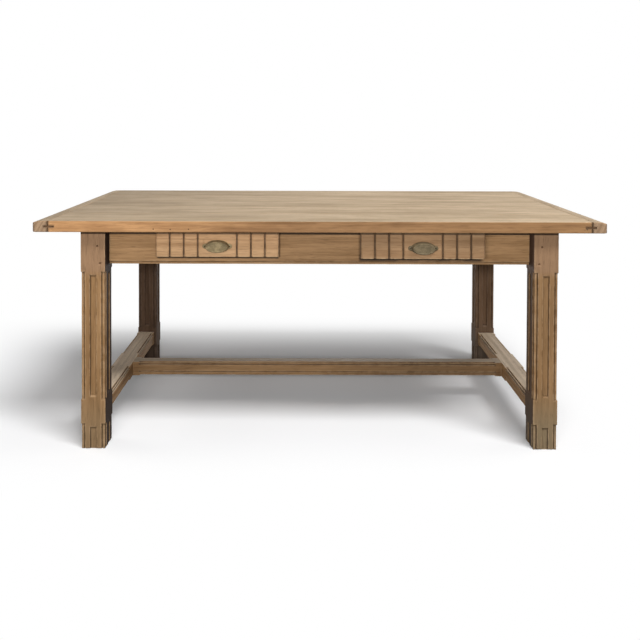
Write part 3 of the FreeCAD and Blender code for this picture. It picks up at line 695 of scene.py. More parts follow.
TOP_OAK = OakFinish(
    name="top_oak",
    pale=srgb(204, 157, 109),
    deep=srgb(121, 84, 52),
    pore=srgb(84, 60, 42),
    rubbed=srgb(200, 170, 134),
    grime=srgb(52, 36, 25),
    faded_pale=srgb(213, 191, 161),
    faded_deep=srgb(156, 134, 105),
    mottle=(0.2, 0.3, 0.5),
    fading=0.95,
    rub_strength=0.35,
    pore_strength=0.35,
    roughness=0.6,
    gloss_level=0.14,
)
FRAME_OAK = OakFinish(
    name="frame_oak",
    pale=srgb(174, 137, 97),
    deep=srgb(122, 91, 58),
    pore=srgb(66, 48, 34),
    rubbed=srgb(190, 158, 122),
    grime=srgb(46, 33, 23),
    faded_pale=srgb(184, 170, 151),
    faded_deep=srgb(146, 131, 113),
    fading=0.85,
    gloss_level=0.18,
)
LEG_OAK = replace(
    FRAME_OAK,
    name="leg_oak",
    fading=0.15,
    # Dark painted shade on the faces towards the middle of the table
    inward_tint=(0.11, 0.11, 0.15),
    gloss_level=0.04,
    scuff_strength=0.5,
    block_strength=0.5,
    grime_strength=0.45,
    grime_width=0.004,
)
# Rear left leg: lighter painted shade on its inner faces
REAR_LEG_OAK = replace(LEG_OAK, name="rear_leg_oak", inward_tint=(0.32, 0.33, 0.44))
# Right-hand legs: lighter painted shade inside, darker and greyer feet, stronger darkening in the grooves
# as dirt and painted shade
DARK_GROOVE_LEG_OAK = replace(
    LEG_OAK,
    name="dirty_leg_oak",
    inward_tint=(0.43, 0.44, 0.55),
    scuff=srgb(134, 119, 94),
    scuff_strength=0.8,
    grime=srgb(66, 45, 28),
    grime_strength=0.6,
)
DRAWER_OAK = OakFinish(
    name="drawer_oak",
    pale=srgb(196, 158, 118),
    deep=srgb(152, 115, 79),
    pore=srgb(86, 62, 43),
    rubbed=srgb(212, 180, 140),
    grime=srgb(48, 34, 24),
    faded_pale=srgb(176, 148, 116),
    faded_deep=srgb(138, 110, 82),
    gloss_level=0.18,
    # Strong darkening in the reed grooves: dirt and painted shade
    grime_width=0.0065,
    grime_strength=0.95,
    line_strength=0.7,
)
# Right drawer: browner, wider and weaker darkening in its grooves, as dirt and painted shade
SOFT_DRAWER_OAK = replace(
    DRAWER_OAK, name="soft_drawer_oak", grime=srgb(62, 43, 28), grime_width=0.008, grime_strength=0.8
)
INNER_OAK = OakFinish(
    name="inner_oak",
    pale=srgb(186, 158, 122),
    deep=srgb(146, 116, 84),
    pore=srgb(98, 75, 54),
    rubbed=srgb(198, 172, 138),
    grime=srgb(78, 60, 45),
    faded_pale=srgb(184, 160, 128),
    faded_deep=srgb(150, 124, 95),
    grime_strength=0.5,
)
PEG_OAK = OakFinish(
    name="peg_oak",
    pale=srgb(124, 92, 64),
    deep=srgb(94, 68, 47),
    pore=srgb(56, 41, 30),
    rubbed=srgb(132, 101, 74),
    grime=srgb(42, 31, 23),
    faded_pale=srgb(124, 92, 64),
    faded_deep=srgb(94, 68, 47),
    end_pale=srgb(116, 86, 60),
    end_deep=srgb(88, 63, 44),
    gloss_level=0.12,
)
PULL_BRASS = MetalFinish("pull_brass", srgb(152, 134, 98), srgb(122, 107, 78), srgb(72, 61, 44))
DULL_BRASS = MetalFinish("dull_brass", srgb(116, 102, 77), srgb(92, 81, 60), srgb(56, 47, 35))
DARK_STEEL = MetalFinish(
    "dark_steel",
    srgb(50, 41, 33),
    srgb(34, 28, 23),
    srgb(20, 17, 14),
    metallic=0.3,
    gloss_level=0.1,
    blotch_size=0.004,
)


def mesh_object(name: str, mesh: bpy.types.Mesh) -> bpy.types.Object:
    """Link an object into the scene, at the origin.

    Args:
        name: Name of the object.
        mesh: What it holds.

    Returns:
        The object.
    """
    piece = bpy.data.objects.new(name, mesh)
    bpy.context.scene.collection.objects.link(piece)
    return piece


def smooth_mesh(mesh: bpy.types.Mesh) -> None:
    """Shade a mesh smooth, apart from its sharp edges."""
    mesh.shade_smooth()
    mesh.set_sharp_from_angle(angle=SMOOTH_ANGLE)


def settle(mesh: bpy.types.Mesh, body: str, nodes: Sequence[str] = ()) -> None:
    """Hand a finished piece to the frame.

    Args:
        mesh: The dressed mesh, which gives the piece its name.
        body: Body that it moves with.
        nodes: Nodes that it stands for.
    """
    piece = mesh_object(mesh.name, mesh)
    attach(piece, body)
    if nodes:
        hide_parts(*nodes)
    LOG.info("%s rides on %s", piece.name, body)


def merged_copy(node: str) -> bmesh.types.BMesh:
    """Copy a node's mesh and weld its loose triangles into flat faces.

    Args:
        node: Name of the node.

    Returns:
        The welded shape.
    """
    shape = bmesh.new()
    shape.from_mesh(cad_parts[node].data)
    bmesh.ops.remove_doubles(shape, verts=shape.verts, dist=WELD)
    bmesh.ops.dissolve_limit(shape, angle_limit=FLAT_ANGLE, verts=shape.verts, edges=shape.edges)
    return shape


def solids(node: str) -> list[Box]:
    """Find the separate solids in a node.

    Args:
        node: Name of the node.

    Returns:
        The box of each solid, in a fixed order.
    """
    shape = merged_copy(node)
    waiting = set(shape.verts)
    boxes = []
    while waiting:
        reached = [waiting.pop()]
        corners = []
        while reached:
            vert = reached.pop()
            corners.append(vert.co.copy())
            near = {edge.other_vert(vert) for edge in vert.link_edges} & waiting
            waiting -= near
            reached.extend(near)
        low = Vector(min(c[i] for c in corners) for i in range(3))
        high = Vector(max(c[i] for c in corners) for i in range(3))
        boxes.append((low, high))
    shape.free()
    return sorted(boxes, key=lambda box: tuple(round(v, 4) for v in (*box[0], *box[1])))


def store(mesh: bpy.types.Mesh, name: str, values: Sequence[float]) -> None:
    """Keep one number for each vertex of a mesh."""
    mesh.attributes.new(name, "FLOAT", "POINT").data.foreach_set("value", values)


def store_shift(mesh: bpy.types.Mesh, shift: Vector) -> None:
    """Keep the place in the log that a piece was cut from."""
    layer = mesh.attributes.new("grain_shift", "FLOAT_VECTOR", "POINT")
    layer.data.foreach_set("vector", [part for _ in mesh.vertices for part in shift])


def line_below(cover: str, node: str) -> Box:
    """Box round the painted shadow on a piece below what covers it, lower where that stands out further.

    Args:
        cover: The piece above the line.
        node: The piece that the line is on.

    Returns:
        Lowest and highest corner.
    """
    low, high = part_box(cover)
    overhang = abs(low.y) - max(abs(corner.y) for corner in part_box(node))
    level = low.z - SHADOW_LINE_WIDTH - SHADOW_LINE_SLOPE * overhang
    return Vector((low.x, -BEYOND, level)), Vector((high.x, BEYOND, low.z))


class EdgeMap:
    """Distances from points to the sharp edges that a shape had before it was rounded and dented."""

    STEP = 0.003
    FAR = 1.0
    NEIGHBOURS = 3
    TINY = 1e-12

    def __init__(self, shape: bmesh.types.BMesh, shortest: float) -> None:
        """Note the sharp edges of a shape.

        Args:
            shape: The shape before it is worn.
            shortest: Length under which an edge is left out.
        """
        sharp = [e for e in shape.edges if e.is_manifold and e.calc_face_angle() > SHARP_ANGLE]
        sharp = [e for e in sharp if e.calc_length() >= shortest]
        self.outer = self._search(e for e in sharp if e.is_convex)
        self.inner = self._search(e for e in sharp if not e.is_convex)

    def _search(self, edges: Iterable[bmesh.types.BMEdge]) -> EdgeSearch:
        """Lay points along edges.

        Args:
            edges: The edges to find again.

        Returns:
            Search tree of the points, with the ends of each point's edge.
        """
        points, ends = [], []
        for edge in edges:
            first, last = (vert.co.copy() for vert in edge.verts)
            count = max(1, math.ceil((last - first).length / self.STEP))
            points.extend(first.lerp(last, i / count) for i in range(count + 1))
            ends.extend((first, last) for _ in range(count + 1))
        tree = kdtree.KDTree(len(points))
        for index, point in enumerate(points):
            tree.insert(point, index)
        tree.balance()
        return tree, ends

    def distance(self, search: EdgeSearch, point: Vector) -> float:
        """Measure how far a point is from the nearest edge.

        Args:
            search: The outer or the inner edges.
            point: Where to measure from.

        Returns:
            The distance, or FAR where there are no edges.
        """
        tree, ends = search
        best = self.FAR
        for _, index, _ in tree.find_n(point, self.NEIGHBOURS) if ends else ():
            first, last = ends[index]
            along = last - first
            share = (point - first).dot(along) / max(along.length_squared, self.TINY)
            best = min(best, (point - first - along * max(0.0, min(1.0, share))).length)
        return best


@dataclass
class Timber:
    """A wooden piece in the shape of one node, with rounded and dented edges.

    Attributes:
        node: Node that gives the shape.
        grain: Which way the fibres run.
        finish: How the wood looks.
        slot: Material slot of the record; not used.
        body: Body that the piece moves with.
        arris: Radius of the rounded outer edges.
        wear: Depth of the wear on the outer edges.
        tone: Lightness at even steps along the fibres.
        top_tone: The same, on faces that look up.
        grimy: Boxes darkened like the inner corners: dirty joints, and painted shade in corners and below
            parts.
        lines: Boxes round crisp painted shadows below overhangs.
        station: Usual distance between the cuts along the fibres.
        shortest_edge: Length under which an edge isn't aged.
        supports: Distances of the cuts beside the edges.
    """

    # Cuts: room beside an edge, and shares of the usual distance at the ends and between
    SUPPORT_ROOM: ClassVar[float] = 0.0015
    FIRST_STATION: ClassVar[float] = 0.5
    LAST_STATION: ClassVar[float] = 0.4
    STATION_SPREAD: ClassVar[Range] = (0.65, 1.35)
    # Rounded edges: their form, and the shortest edge as a multiple of the radius
    ROUND_STEPS: ClassVar[int] = 2
    ROUND_PROFILE: ClassVar[float] = 0.55
    ROUND_SHORTEST: ClassVar[float] = 3
    # Wear: reach as a multiple of the radius, then patches per metre and shares of the depth
    WORN_REACH: ClassVar[float] = 1.3
    RUB_SCALE: ClassVar[float] = 30
    RUB_SHARE: ClassVar[float] = 0.6
    KNOCK_SCALE: ClassVar[float] = 70
    KNOCK_LEVEL: ClassVar[float] = 0.35
    KNOCK_SHARE: ClassVar[float] = 1.6
    # Chance: how far the noise, the place along the log and the log's heart may shift
    NOISE_REACH: ClassVar[float] = 50
    LOG_REACH: ClassVar[float] = 4
    HEART_OFFSET: ClassVar[Range] = (0.1, 0.3)

    node: str
    grain: Grain
    finish: OakFinish
    slot: str
    body: str = "table"
    arris: float = 0.0012
    wear: float = 0.0009
    tone: Sequence[float] = (0.0,)
    top_tone: Sequence[float] = (0.0,)
    grimy: Sequence[Box] = ()
    lines: Sequence[Box] = ()
    station: float = 0.026
    shortest_edge: float = 0.003
    supports: Sequence[float] = (0.004, 0.012)
    shape: bmesh.types.BMesh = field(init=False, repr=False)
    draw: random.Random = field(init=False, repr=False)

    def build(self) -> None:
        """Make the piece and hand it to the frame."""
        self.shape = merged_copy(self.node)
        self.draw = random.Random(f"{SEED} {self.node}")
        edges = EdgeMap(self.shape, self.shortest_edge)
        cuts = [self._support_levels(axis) for axis in range(3)]
        cuts[self.grain.axis] += self._stations()
        cuts[2] += self._line_levels()
        self._soften()
        for axis, levels in enumerate(cuts):
            self._slice(axis, levels)
        outer, inner = self._wear_down(edges)
        mesh = bpy.data.meshes.new(f"{self.node}_wood")
        self.shape.to_mesh(mesh)
        self.shape.free()
        self._mark(mesh, outer, inner)
        smooth_mesh(mesh)
        mesh.materials.append(self.finish.material(self.grain))
        settle(mesh, self.body, [self.node])

    def _limits(self, axis: int) -> Range:
        """Lowest and highest place of the piece along one axis."""
        low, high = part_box(self.node)
        return low[axis], high[axis]

    def _edge_levels(self, axis: int) -> set[float]:
        """Find the levels of the straight sharp edges across one axis.

        Args:
            axis: Number of the axis.

        Returns:
            Each level once.
        """
        levels = set()
        for edge in self.shape.edges:
            if not edge.is_manifold or edge.calc_face_angle() < SHARP_ANGLE:
                continue
            first, last = (vert.co for vert in edge.verts)
            moves = [abs(last[i] - first[i]) > WELD for i in range(3)]
            if sum(moves) == 1 and not moves[axis] and edge.calc_length() > self.shortest_edge:
                levels.add(round(first[axis], 5))
        return levels

    def _support_levels(self, axis: int) -> list[float]:
        """Choose planes close beside the straight sharp edges, where the wear fades out.

        Args:
            axis: Number of the axis that the planes lie across.

        Returns:
            Their places along the axis.
        """
        levels = self._edge_levels(axis)
        low, high = self._limits(axis)
        kept: list[float] = []
        for level in sorted(levels):
            for offset in self.supports:
                for place in (level - offset, level + offset):
                    clear = all(abs(place - other) > self.SUPPORT_ROOM for other in (*levels, *kept))
                    if clear and low < place < high:
                        kept.append(place)
        return kept

    def _stations(self) -> list[float]:
        """Choose uneven planes along the fibres, between which the edges wander.

        Returns:
            Their places along the fibres.
        """
        low, high = self._limits(self.grain.axis)
        places = []
        place = low + self.station * self.FIRST_STATION
        while place < high - self.station * self.LAST_STATION:
            places.append(place)
            place += self.station * self.draw.uniform(*self.STATION_SPREAD)
        return places

    def _line_levels(self) -> list[float]:
        """Choose the levels between which the lower side of each painted shadow fades out.

        Returns:
            The levels that lie on the piece.
        """
        low, high = self._limits(2)
        levels = [box[0].z - fade for box in self.lines for fade in (0.0, SHADOW_LINE_FADE)]
        return [level for level in levels if low < level < high]

    def _soften(self) -> None:
        """Round the long outer edges."""
        edges = [
            edge
            for edge in self.shape.edges
            if edge.is_manifold
            and edge.is_convex
            and edge.calc_face_angle() > SHARP_ANGLE
            and edge.calc_length() > self.ROUND_SHORTEST * self.arris
        ]
        bmesh.ops.bevel(
            self.shape,
            geom=edges,
            offset=self.arris,
            offset_type="OFFSET",
            segments=self.ROUND_STEPS,
            profile=self.ROUND_PROFILE,
            affect="EDGES",
            clamp_overlap=False,
        )

    def _slice(self, axis: int, levels: Iterable[float]) -> None:
        """Cut the surface along planes.

        Args:
            axis: Number of the axis that the planes lie across.
            levels: Their places along it.
        """
        across = Vector(float(i == axis) for i in range(3))
        for level in levels:
            parts = [*self.shape.verts, *self.shape.edges, *self.shape.faces]
            bmesh.ops.bisect_plane(
                self.shape, geom=parts, dist=WELD, plane_co=across * level, plane_no=across
            )

    @staticmethod
    def _gap(point: Vector, box: Box) -> float:
        """Distance from a point to a box, zero inside it."""
        low, high = box
        return Vector(max(low[i] - point[i], 0.0, point[i] - high[i]) for i in range(3)).length

    def _wear_down(self, edges: EdgeMap) -> tuple[list[float], list[float]]:
        """Dent the outer edges inwards.

        Args:
            edges: The sharp edges before they were rounded.

        Returns:
            Each vertex's distance to the outer edges, and to the inner edges or the darkened boxes.
        """
        self.shape.normal_update()
        shift = Vector(self.draw.uniform(0, self.NOISE_REACH) for _ in range(3))
        outer, inner, moved = [], [], []
        for vert in self.shape.verts:
            darkening = (self._gap(vert.co, box) for box in self.grimy)
            inner.append(min([edges.distance(edges.inner, vert.co), *darkening]))
            outer.append(edges.distance(edges.outer, vert.co))
            if outer[-1] > self.WORN_REACH * self.arris:
                continue
            rub = max(0.0, noise.noise(vert.co * self.RUB_SCALE + shift))
            knock = max(0.0, noise.noise(vert.co * self.KNOCK_SCALE - shift) - self.KNOCK_LEVEL)
            depth = self.wear * (self.RUB_SHARE * rub + self.KNOCK_SHARE * knock)
            moved.append((vert, vert.normal * depth))
        for vert, dent in moved:
            vert.co -= dent
        return outer, inner

    def _line_at(self, point: Vector) -> float:
        """Strength of the painted shadow below overhangs at a point, from 0 to 1."""
        return max((1.0 - min(1.0, self._gap(point, box) / SHADOW_LINE_FADE) for box in self.lines), default=0.0)

    @staticmethod
    def _tone_at(tones: Sequence[float], share: float) -> float:
        """Read a lightness between evenly spaced tones.

        Args:
            tones: The tones, from one end of the piece to the other.
            share: How far along the piece, from 0 to 1.

        Returns:
            The lightness there.
        """
        spot = max(0.0, min(1.0, share)) * (len(tones) - 1)
        index = min(int(spot), max(0, len(tones) - 2))
        following = tones[min(index + 1, len(tones) - 1)]
        return tones[index] + (following - tones[index]) * (spot - index)

    def _mark(self, mesh: bpy.types.Mesh, outer: Sequence[float], inner: Sequence[float]) -> None:
        """Store what the finish reads from the mesh.

        Args:
            mesh: The finished mesh.
            outer: Each vertex's distance to the outer edges.
            inner: Each vertex's distance to the inner edges or the darkened boxes.
        """
        low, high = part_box(self.node)
        shift = -(low + high) / 2
        for axis in range(3):
            reach = self.draw.uniform(*self.HEART_OFFSET) * self.draw.choice((-1, 1))
            if axis == self.grain.axis:
                reach = self.draw.uniform(-self.LOG_REACH, self.LOG_REACH)
            shift[axis] += reach
        start, end = self._limits(self.grain.axis)
        shares = [(v.co[self.grain.axis] - start) / (end - start) for v in mesh.vertices]
        store(mesh, "tone", [self._tone_at(self.tone, share) for share in shares])
        store(mesh, "top_tone", [self._tone_at(self.top_tone, share) for share in shares])
        store(mesh, "arris", outer)
        store(mesh, "nook", inner)
        # Painted shadow below overhangs, from 0 to 1
        store(mesh, "line", [self._line_at(v.co) for v in mesh.vertices])
        store_shift(mesh, shift)


@dataclass
class TableTop:
    """Five planks, two end boards and the loose tongues between them."""

    plank_tones: Sequence[Sequence[float]] = (
        (0.34, 0.0, -0.35, -0.36, -0.3),
        (0.0,),
        (-0.04, 0.02),
        (0.02, -0.03),
        (0.0, 0.03),
    )
    # Lightness of each plank's upper face along the table: tone of the wood, and painted light that darkens
    # the left end and lightens the right end
    fading_tones: Sequence[Sequence[float]] = (
        (-0.14, 0.0, 0.1, 0.22),
        (-0.19, 0.03, 0.12, 0.1),
        (-0.18, 0.0, 0.14, 0.1),
        (-0.2, 0.02, 0.12, 0.1),
        (-0.18, 0.0, 0.12, 0.14),
    )
    end_tones: dict[End, float] = field(default_factory=lambda: {End.LEFT: 0.14, End.RIGHT: 0.1})
    # Lightness of the end boards' upper faces: tone, and painted light that darkens the left one
    end_fading: dict[End, float] = field(default_factory=lambda: {End.LEFT: -0.14, End.RIGHT: 0.0})
    board_arris: float = 0.0006
    tongue_arris: float = 0.0004
    tongue_station: float = 0.06
    crack_depth: float = 0.003
    crack_width: float = 0.0022
    # Painted shade along each end board's rounded upper arris and its upright corners: drop and reach
    worn_end_drop: float = 0.012
    worn_end_reach: float = 0.001
    worn_corner_reach: float = 0.004
    tongue_dirt: float = 0.0008

    def build(self) -> None:
        """Make every board of the top."""
        cracks = []
        for end in End:
            for row in Row:
                cracks += [self._crack(end, row), self._tongue_end(end, row)]
        for number, (tone, fading) in enumerate(zip(self.plank_tones, self.fading_tones), start=1):
            self._board(f"top_plank_{number}", Grain.ALONG_TABLE, tone, fading, cracks)
        for end in End:
            tones = (self.end_tones[end],), (self.end_fading[end],)
            # Painted shade along each end board's upper arris and upright corners
            shaded_ends = [self._worn_end(end), *(self._worn_corner(end, row) for row in Row)]
            self._board(f"{end}_end_board", Grain.ACROSS_TABLE, *tones, [*cracks, *shaded_ends])
            Timber(
                f"{end}_end_spline",
                Grain.ACROSS_TABLE,
                PEG_OAK,
                "inner_oak",
                arris=self.tongue_arris,
                station=self.tongue_station,
            ).build()

    def _board(
        self, node: str, grain: Grain, tone: Sequence[float], fading: Sequence[float], grimy: Sequence[Box]
    ) -> None:
        """Make one board of the top.

        Args:
            node: Node that gives its shape.
            grain: Which way its fibres run.
            tone: Lightness of its edges along the fibres.
            fading: Lightness of its upper face along the fibres, painted light included.
            grimy: Boxes that are darkened: dirty joints, and painted shade on the end boards.
        """
        Timber(
            node, grain, TOP_OAK, "top_oak", arris=self.board_arris, tone=tone, top_tone=fading, grimy=grimy
        ).build()

    def _worn_end(self, end: End) -> Box:
        """Box round the painted shade on the upper arris at one end of the top.

        Args:
            end: Which end of the top.

        Returns:
            Lowest and highest corner.
        """
        low, high = (corner.copy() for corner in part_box(f"{end}_end_board"))
        low.z = high.z - self.worn_end_drop
        if end is End.LEFT:
            low.x, high.x = -BEYOND, low.x + self.worn_end_reach
        else:
            low.x, high.x = high.x - self.worn_end_reach, BEYOND
        return low, high

    def _worn_corner(self, end: End, row: Row) -> Box:
        """Box round the painted shade on an upright corner of one end of the top.

        Args:
            end: Which end of the top.
            row: Which long edge of the top.

        Returns:
            Lowest and highest corner.
        """
        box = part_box(f"{end}_end_board")
        corner = Vector((end.of(box), row.of(box), 0.0))
        reach = Vector((self.worn_corner_reach, self.worn_corner_reach, BEYOND))
        return corner - reach, corner + reach

    def _tongue_end(self, end: End, row: Row) -> Box:
        """Box round the dirty end of a loose tongue in one long edge of the top.

        Args:
            end: Which end of the top.
            row: Which long edge of the top.

        Returns:
            Lowest and highest corner.
        """
        low, high = (corner.copy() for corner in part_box(f"{end}_end_spline"))
        edge = row.of((low, high))
        low.y, high.y = edge - self.crack_depth, edge + self.crack_depth
        reach = Vector((self.tongue_dirt, 0.0, self.tongue_dirt))
        return low - reach, high + reach

    def _crack(self, end: End, row: Row) -> Box:
        """Box round the dirty upright joint between an end board and the planks.

        Args:
            end: Which end of the top.
            row: Which long edge of the top.

        Returns:
            Lowest and highest corner.
        """
        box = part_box(f"{end}_end_board")
        joint = Vector((end.other.of(box), row.of(box), 0.0))
        reach = Vector((self.crack_width, self.crack_depth, BEYOND))
        return joint - reach, joint + reach


@dataclass
class Underframe:
    """Legs, rails and stretchers."""

    legs: dict[tuple[Row, End], tuple[OakFinish, Sequence[float]]] = field(
        default_factory=lambda: {
            (Row.FRONT, End.LEFT): (LEG_OAK, (-0.12, -0.05, -0.02, -0.02, 0.04)),
            (Row.FRONT, End.RIGHT): (DARK_GROOVE_LEG_OAK, (-0.2, -0.1, -0.24, -0.24, -0.09)),
            (Row.BACK, End.LEFT): (REAR_LEG_OAK, (0.1,)),
            (Row.BACK, End.RIGHT): (DARK_GROOVE_LEG_OAK, (0.05,)),
        }
    )
    leg_arris: float = 0.0011
    rail_tone: Sequence[float] = (0.3, 0.06, 0.24)
    stretcher_tone: Sequence[float] = (-0.05, 0.0, 0.1, -0.38, -0.3)
    # Lightness added to the side stretchers' upper faces under the top: their fading, and painted light,
    # most on the left one
    stretcher_fading: dict[End, float] = field(default_factory=lambda: {End.LEFT: 0.95, End.RIGHT: 0.5})
    long_fading: Sequence[float] = (0.05, 0.0)
    # Painted shade: how far the dark corner between the legs and a long rail reaches
    rail_corner: float = 0.03
    # Painted shadow below each drawer front: how far it reaches down the rail
    drawer_shade: dict[End, float] = field(default_factory=lambda: {End.LEFT: 0.002, End.RIGHT: 0.018})

    def build(self) -> None:
        """Make every timber of the frame."""
        for (row, end), (finish, tone) in self.legs.items():
            leg = f"{row}_{end}_leg"
            # Painted shade in the corner by the rail, painted shadow below the top
            self._timber(
                leg,
                Grain.UPRIGHT,
                finish,
                arris=self.leg_arris,
                tone=tone,
                grimy=[self._rail_corner(row)],
                lines=[line_below(FRONT_PLANK, leg)],
            )
        for row in Row:
            rail = f"{row}_rail"
            drawers = self.drawer_shade if row is Row.FRONT else {}
            covers = [FRONT_PLANK, *(f"{side}_drawer_front" for side in drawers)]
            # Front rail: painted shadow below each drawer front and below the top
            self._timber(
                rail,
                Grain.ALONG_TABLE,
                tone=self.rail_tone,
                grimy=[self._below_drawer(side) for side in drawers],
                lines=[line_below(cover, rail) for cover in covers],
            )
        for end in End:
            self._timber(f"{end}_side_rail", Grain.ACROSS_TABLE)
            self._timber(f"{end}_stretcher", Grain.ACROSS_TABLE, top_tone=(self.stretcher_fading[end],))
        self._timber(
            "long_stretcher", Grain.ALONG_TABLE, tone=self.stretcher_tone, top_tone=self.long_fading
        )

    @staticmethod
    def _timber(node: str, grain: Grain, finish: OakFinish = FRAME_OAK, **sizes: object) -> None:
        """Make one timber of the frame."""
        Timber(node, grain, finish, "frame_oak", **sizes).build()

    def _below_drawer(self, side: End) -> Box:
        """Box round the painted shadow on the front rail behind and below one drawer's front.

        Args:
            side: Which drawer.

        Returns:
            Lowest and highest corner.
        """
        low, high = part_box(f"{side}_drawer_front")
        drop = Vector((0.0, 0.0, self.drawer_shade[side]))
        return low - drop, Vector((high.x, 0.0, high.z))

    def _rail_corner(self, row: Row) -> Box:
        """Box round the painted shade in the corner between the legs and a long rail.

        Args:
            row: Which rail.

        Returns:
            Lowest and highest corner.
        """
        low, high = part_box(f"{row}_rail")
        reach = Vector((0.0, self.rail_corner, 0.0))
        return low - reach, high + reach


@dataclass
class DrawerRunners:
    """Runners, guides and buttons inside the frame."""

    station: float = 0.05
    button_arris: float = 0.001

    def build(self) -> None:
        """Make the inner timbers that carry the drawers and hold the top."""
        for drawer in End:
            for side in End:
                for part in ("runner", "guide"):
                    node = f"{drawer}_drawer_{side}_{part}"
                    Timber(node, Grain.ACROSS_TABLE, INNER_OAK, "inner_oak", station=self.station).build()
        Timber(
            "top_buttons",
            Grain.ALONG_TABLE,
            INNER_OAK,
            "inner_oak",
            arris=self.button_arris,
            station=self.station,
        ).build()


@dataclass
class CupPull:
    """Cup pull with an oval face, open below, on a flange with two round ears."""

    node: str
    body: str
    finish: MetalFinish
    wall: float = 0.002
    flange: float = 0.002
    ear_height: float = 0.017
    back_width: float = 0.082
    back_height: float = 0.043
    face_width: float = 0.073
    face_height: float = 0.036
    mouth_drop: float = 0.005
    columns: int = 96
    shape: bmesh.types.BMesh = field(init=False, repr=False)
    middle: Vector = field(init=False)
    reach: float = field(init=False)
    half_length: float = field(init=False)

    def build(self) -> None:
        """Make the pull and hand it to the frame."""
        low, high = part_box(self.node)
        self.middle = Vector(((low.x + high.x) / 2, high.y, low.z + self.back_height / 2))
        self.reach = high.y - low.y
        self.half_length = (high.x - low.x) / 2
        self.shape = bmesh.new()
        self._flange()
        self._face()
        self._hood()
        bmesh.ops.recalc_face_normals(self.shape, faces=self.shape.faces)
        mesh = bpy.data.meshes.new(f"{self.node}_cup")
        self.shape.to_mesh(mesh)
        self.shape.free()
        smooth_mesh(mesh)
        mesh.materials.append(self.finish.material())
        settle(mesh, self.body, [self.node])

    def _point(self, across: float, up: float, out: float) -> Vector:
        """Place from a distance across, up and out of the drawer's face."""
        return self.middle + Vector((across, -out, up))

    def _angles(self) -> list[float]:
        """Angles round the oval."""
        return [2 * math.pi * i / self.columns for i in range(self.columns)]

    def _skin(self, rings: Sequence[Sequence[Vector]], closed: bool) -> list[list[bmesh.types.BMVert]]:
        """Make faces between rings of points.

        Args:
            rings: Rows of points, each as long as the others.
            closed: Whether the last point of a ring joins its first.

        Returns:
            The vertices of each ring.
        """
        rows = [[self.shape.verts.new(point) for point in ring] for ring in rings]
        count = len(rows[0])
        for first, second in zip(rows, rows[1:]):
            for i in range(count if closed else count - 1):
                j = (i + 1) % count
                self.shape.faces.new((first[i], first[j], second[j], second[i]))
        return rows

    def _plate(self, rings: Sequence[Sequence[Vector]]) -> None:
        """Make a closed plate, with a face over its first and its last ring.

        Args:
            rings: Rings of points, from the back to the front.
        """
        rows = self._skin(rings, True)
        self.shape.faces.new(rows[-1])
        self.shape.faces.new(list(reversed(rows[0])))

    def _oval(self, width: float, height: float, out: float) -> list[Vector]:
        """Ring of points round an oval."""
        return [self._point(width / 2 * math.cos(a), height / 2 * math.sin(a), out) for a in self._angles()]

    def _flange_radius(self, angle: float) -> float:
        """Measure the flange.

        Args:
            angle: Direction from its middle.

        Returns:
            Distance from the middle to the rim.
        """
        cos, sin = math.cos(angle), math.sin(angle)
        oval = 1 / math.hypot(cos / (self.back_width / 2), sin / (self.back_height / 2))
        half = self.ear_height / 2
        offset = self.half_length - half
        if abs(sin) * offset < half * abs(cos):
            ear = offset * abs(cos) + math.sqrt(max(0.0, half**2 - (offset * sin) ** 2))
        else:
            ear = half / abs(sin)
        return max(oval, ear)

    def _flange(self) -> None:
        """Plate against the drawer, whose rim is softened by insets at some distances out."""
        rim = ((0.0, 0.0), (0.0, 0.0012), (0.0003, 0.0017), (0.0009, self.flange))
        rings = []
        for inset, out in rim:
            ring = []
            for angle in self._angles():
                radius = self._flange_radius(angle) - inset
                ring.append(self._point(radius * math.cos(angle), radius * math.sin(angle), out))
            rings.append(ring)
        self._plate(rings)

    def _face(self) -> None:
        """Oval face plate with a raised rim and a sunk panel, as insets and their rise."""
        profile = (
            (0.004, -self.wall),
            (0.0, -self.wall),
            (-0.0004, -0.0014),
            (0.0, -0.0007),
            (0.001, -0.0001),
            (0.0022, 0.0),
            (0.0034, -0.0003),
            (0.004, -0.0009),
            (0.0052, -0.0009),
            (0.011, -0.0007),
        )
        self._plate(
            [
                self._oval(self.face_width - 2 * inset, self.face_height - 2 * inset, self.reach + rise)
                for inset, rise in profile
            ]
        )

    def _hood_ring(self, share: float, inset: float) -> list[Vector]:
        """Lay points round the hood, from one end of its mouth over the top to the other.

        Args:
            share: How far from the flange to the face, from 0 to 1.
            inset: Distance inside the hood's outline.

        Returns:
            The points.
        """
        width = self.back_width + (self.face_width - self.back_width) * share - 2 * inset
        height = self.back_height + (self.face_height - self.back_height) * share - 2 * inset
        back, front = self.flange / 2, self.reach - self.wall / 2
        start = -math.asin(self.mouth_drop / (height / 2))
        count = self.columns // 2
        angles = [start + (math.pi - 2 * start) * i / count for i in range(count + 1)]
        out = back + (front - back) * share
        return [self._point(width / 2 * math.cos(a), height / 2 * math.sin(a), out) for a in angles]

    def _hood(self) -> None:
        """Tapered wall round the top of the cup, cut straight across at the mouth."""
        outer = ((0.0, 0.0008), (0.25, 0.0), (0.6, 0.0), (0.85, 0.0002), (1.0, 0.0006))
        inner = ((1.0, self.wall), (0.5, self.wall), (0.0, self.wall))
        rings = [self._hood_ring(share, inset) for share, inset in (*outer, *inner)]
        rows = self._skin([*rings, rings[0]], False)
        for index in (0, -1):
            self.shape.faces.new([row[index] for row in rows[:-1]])
        bmesh.ops.remove_doubles(self.shape, verts=[*rows[0], *rows[-1]], dist=WELD)


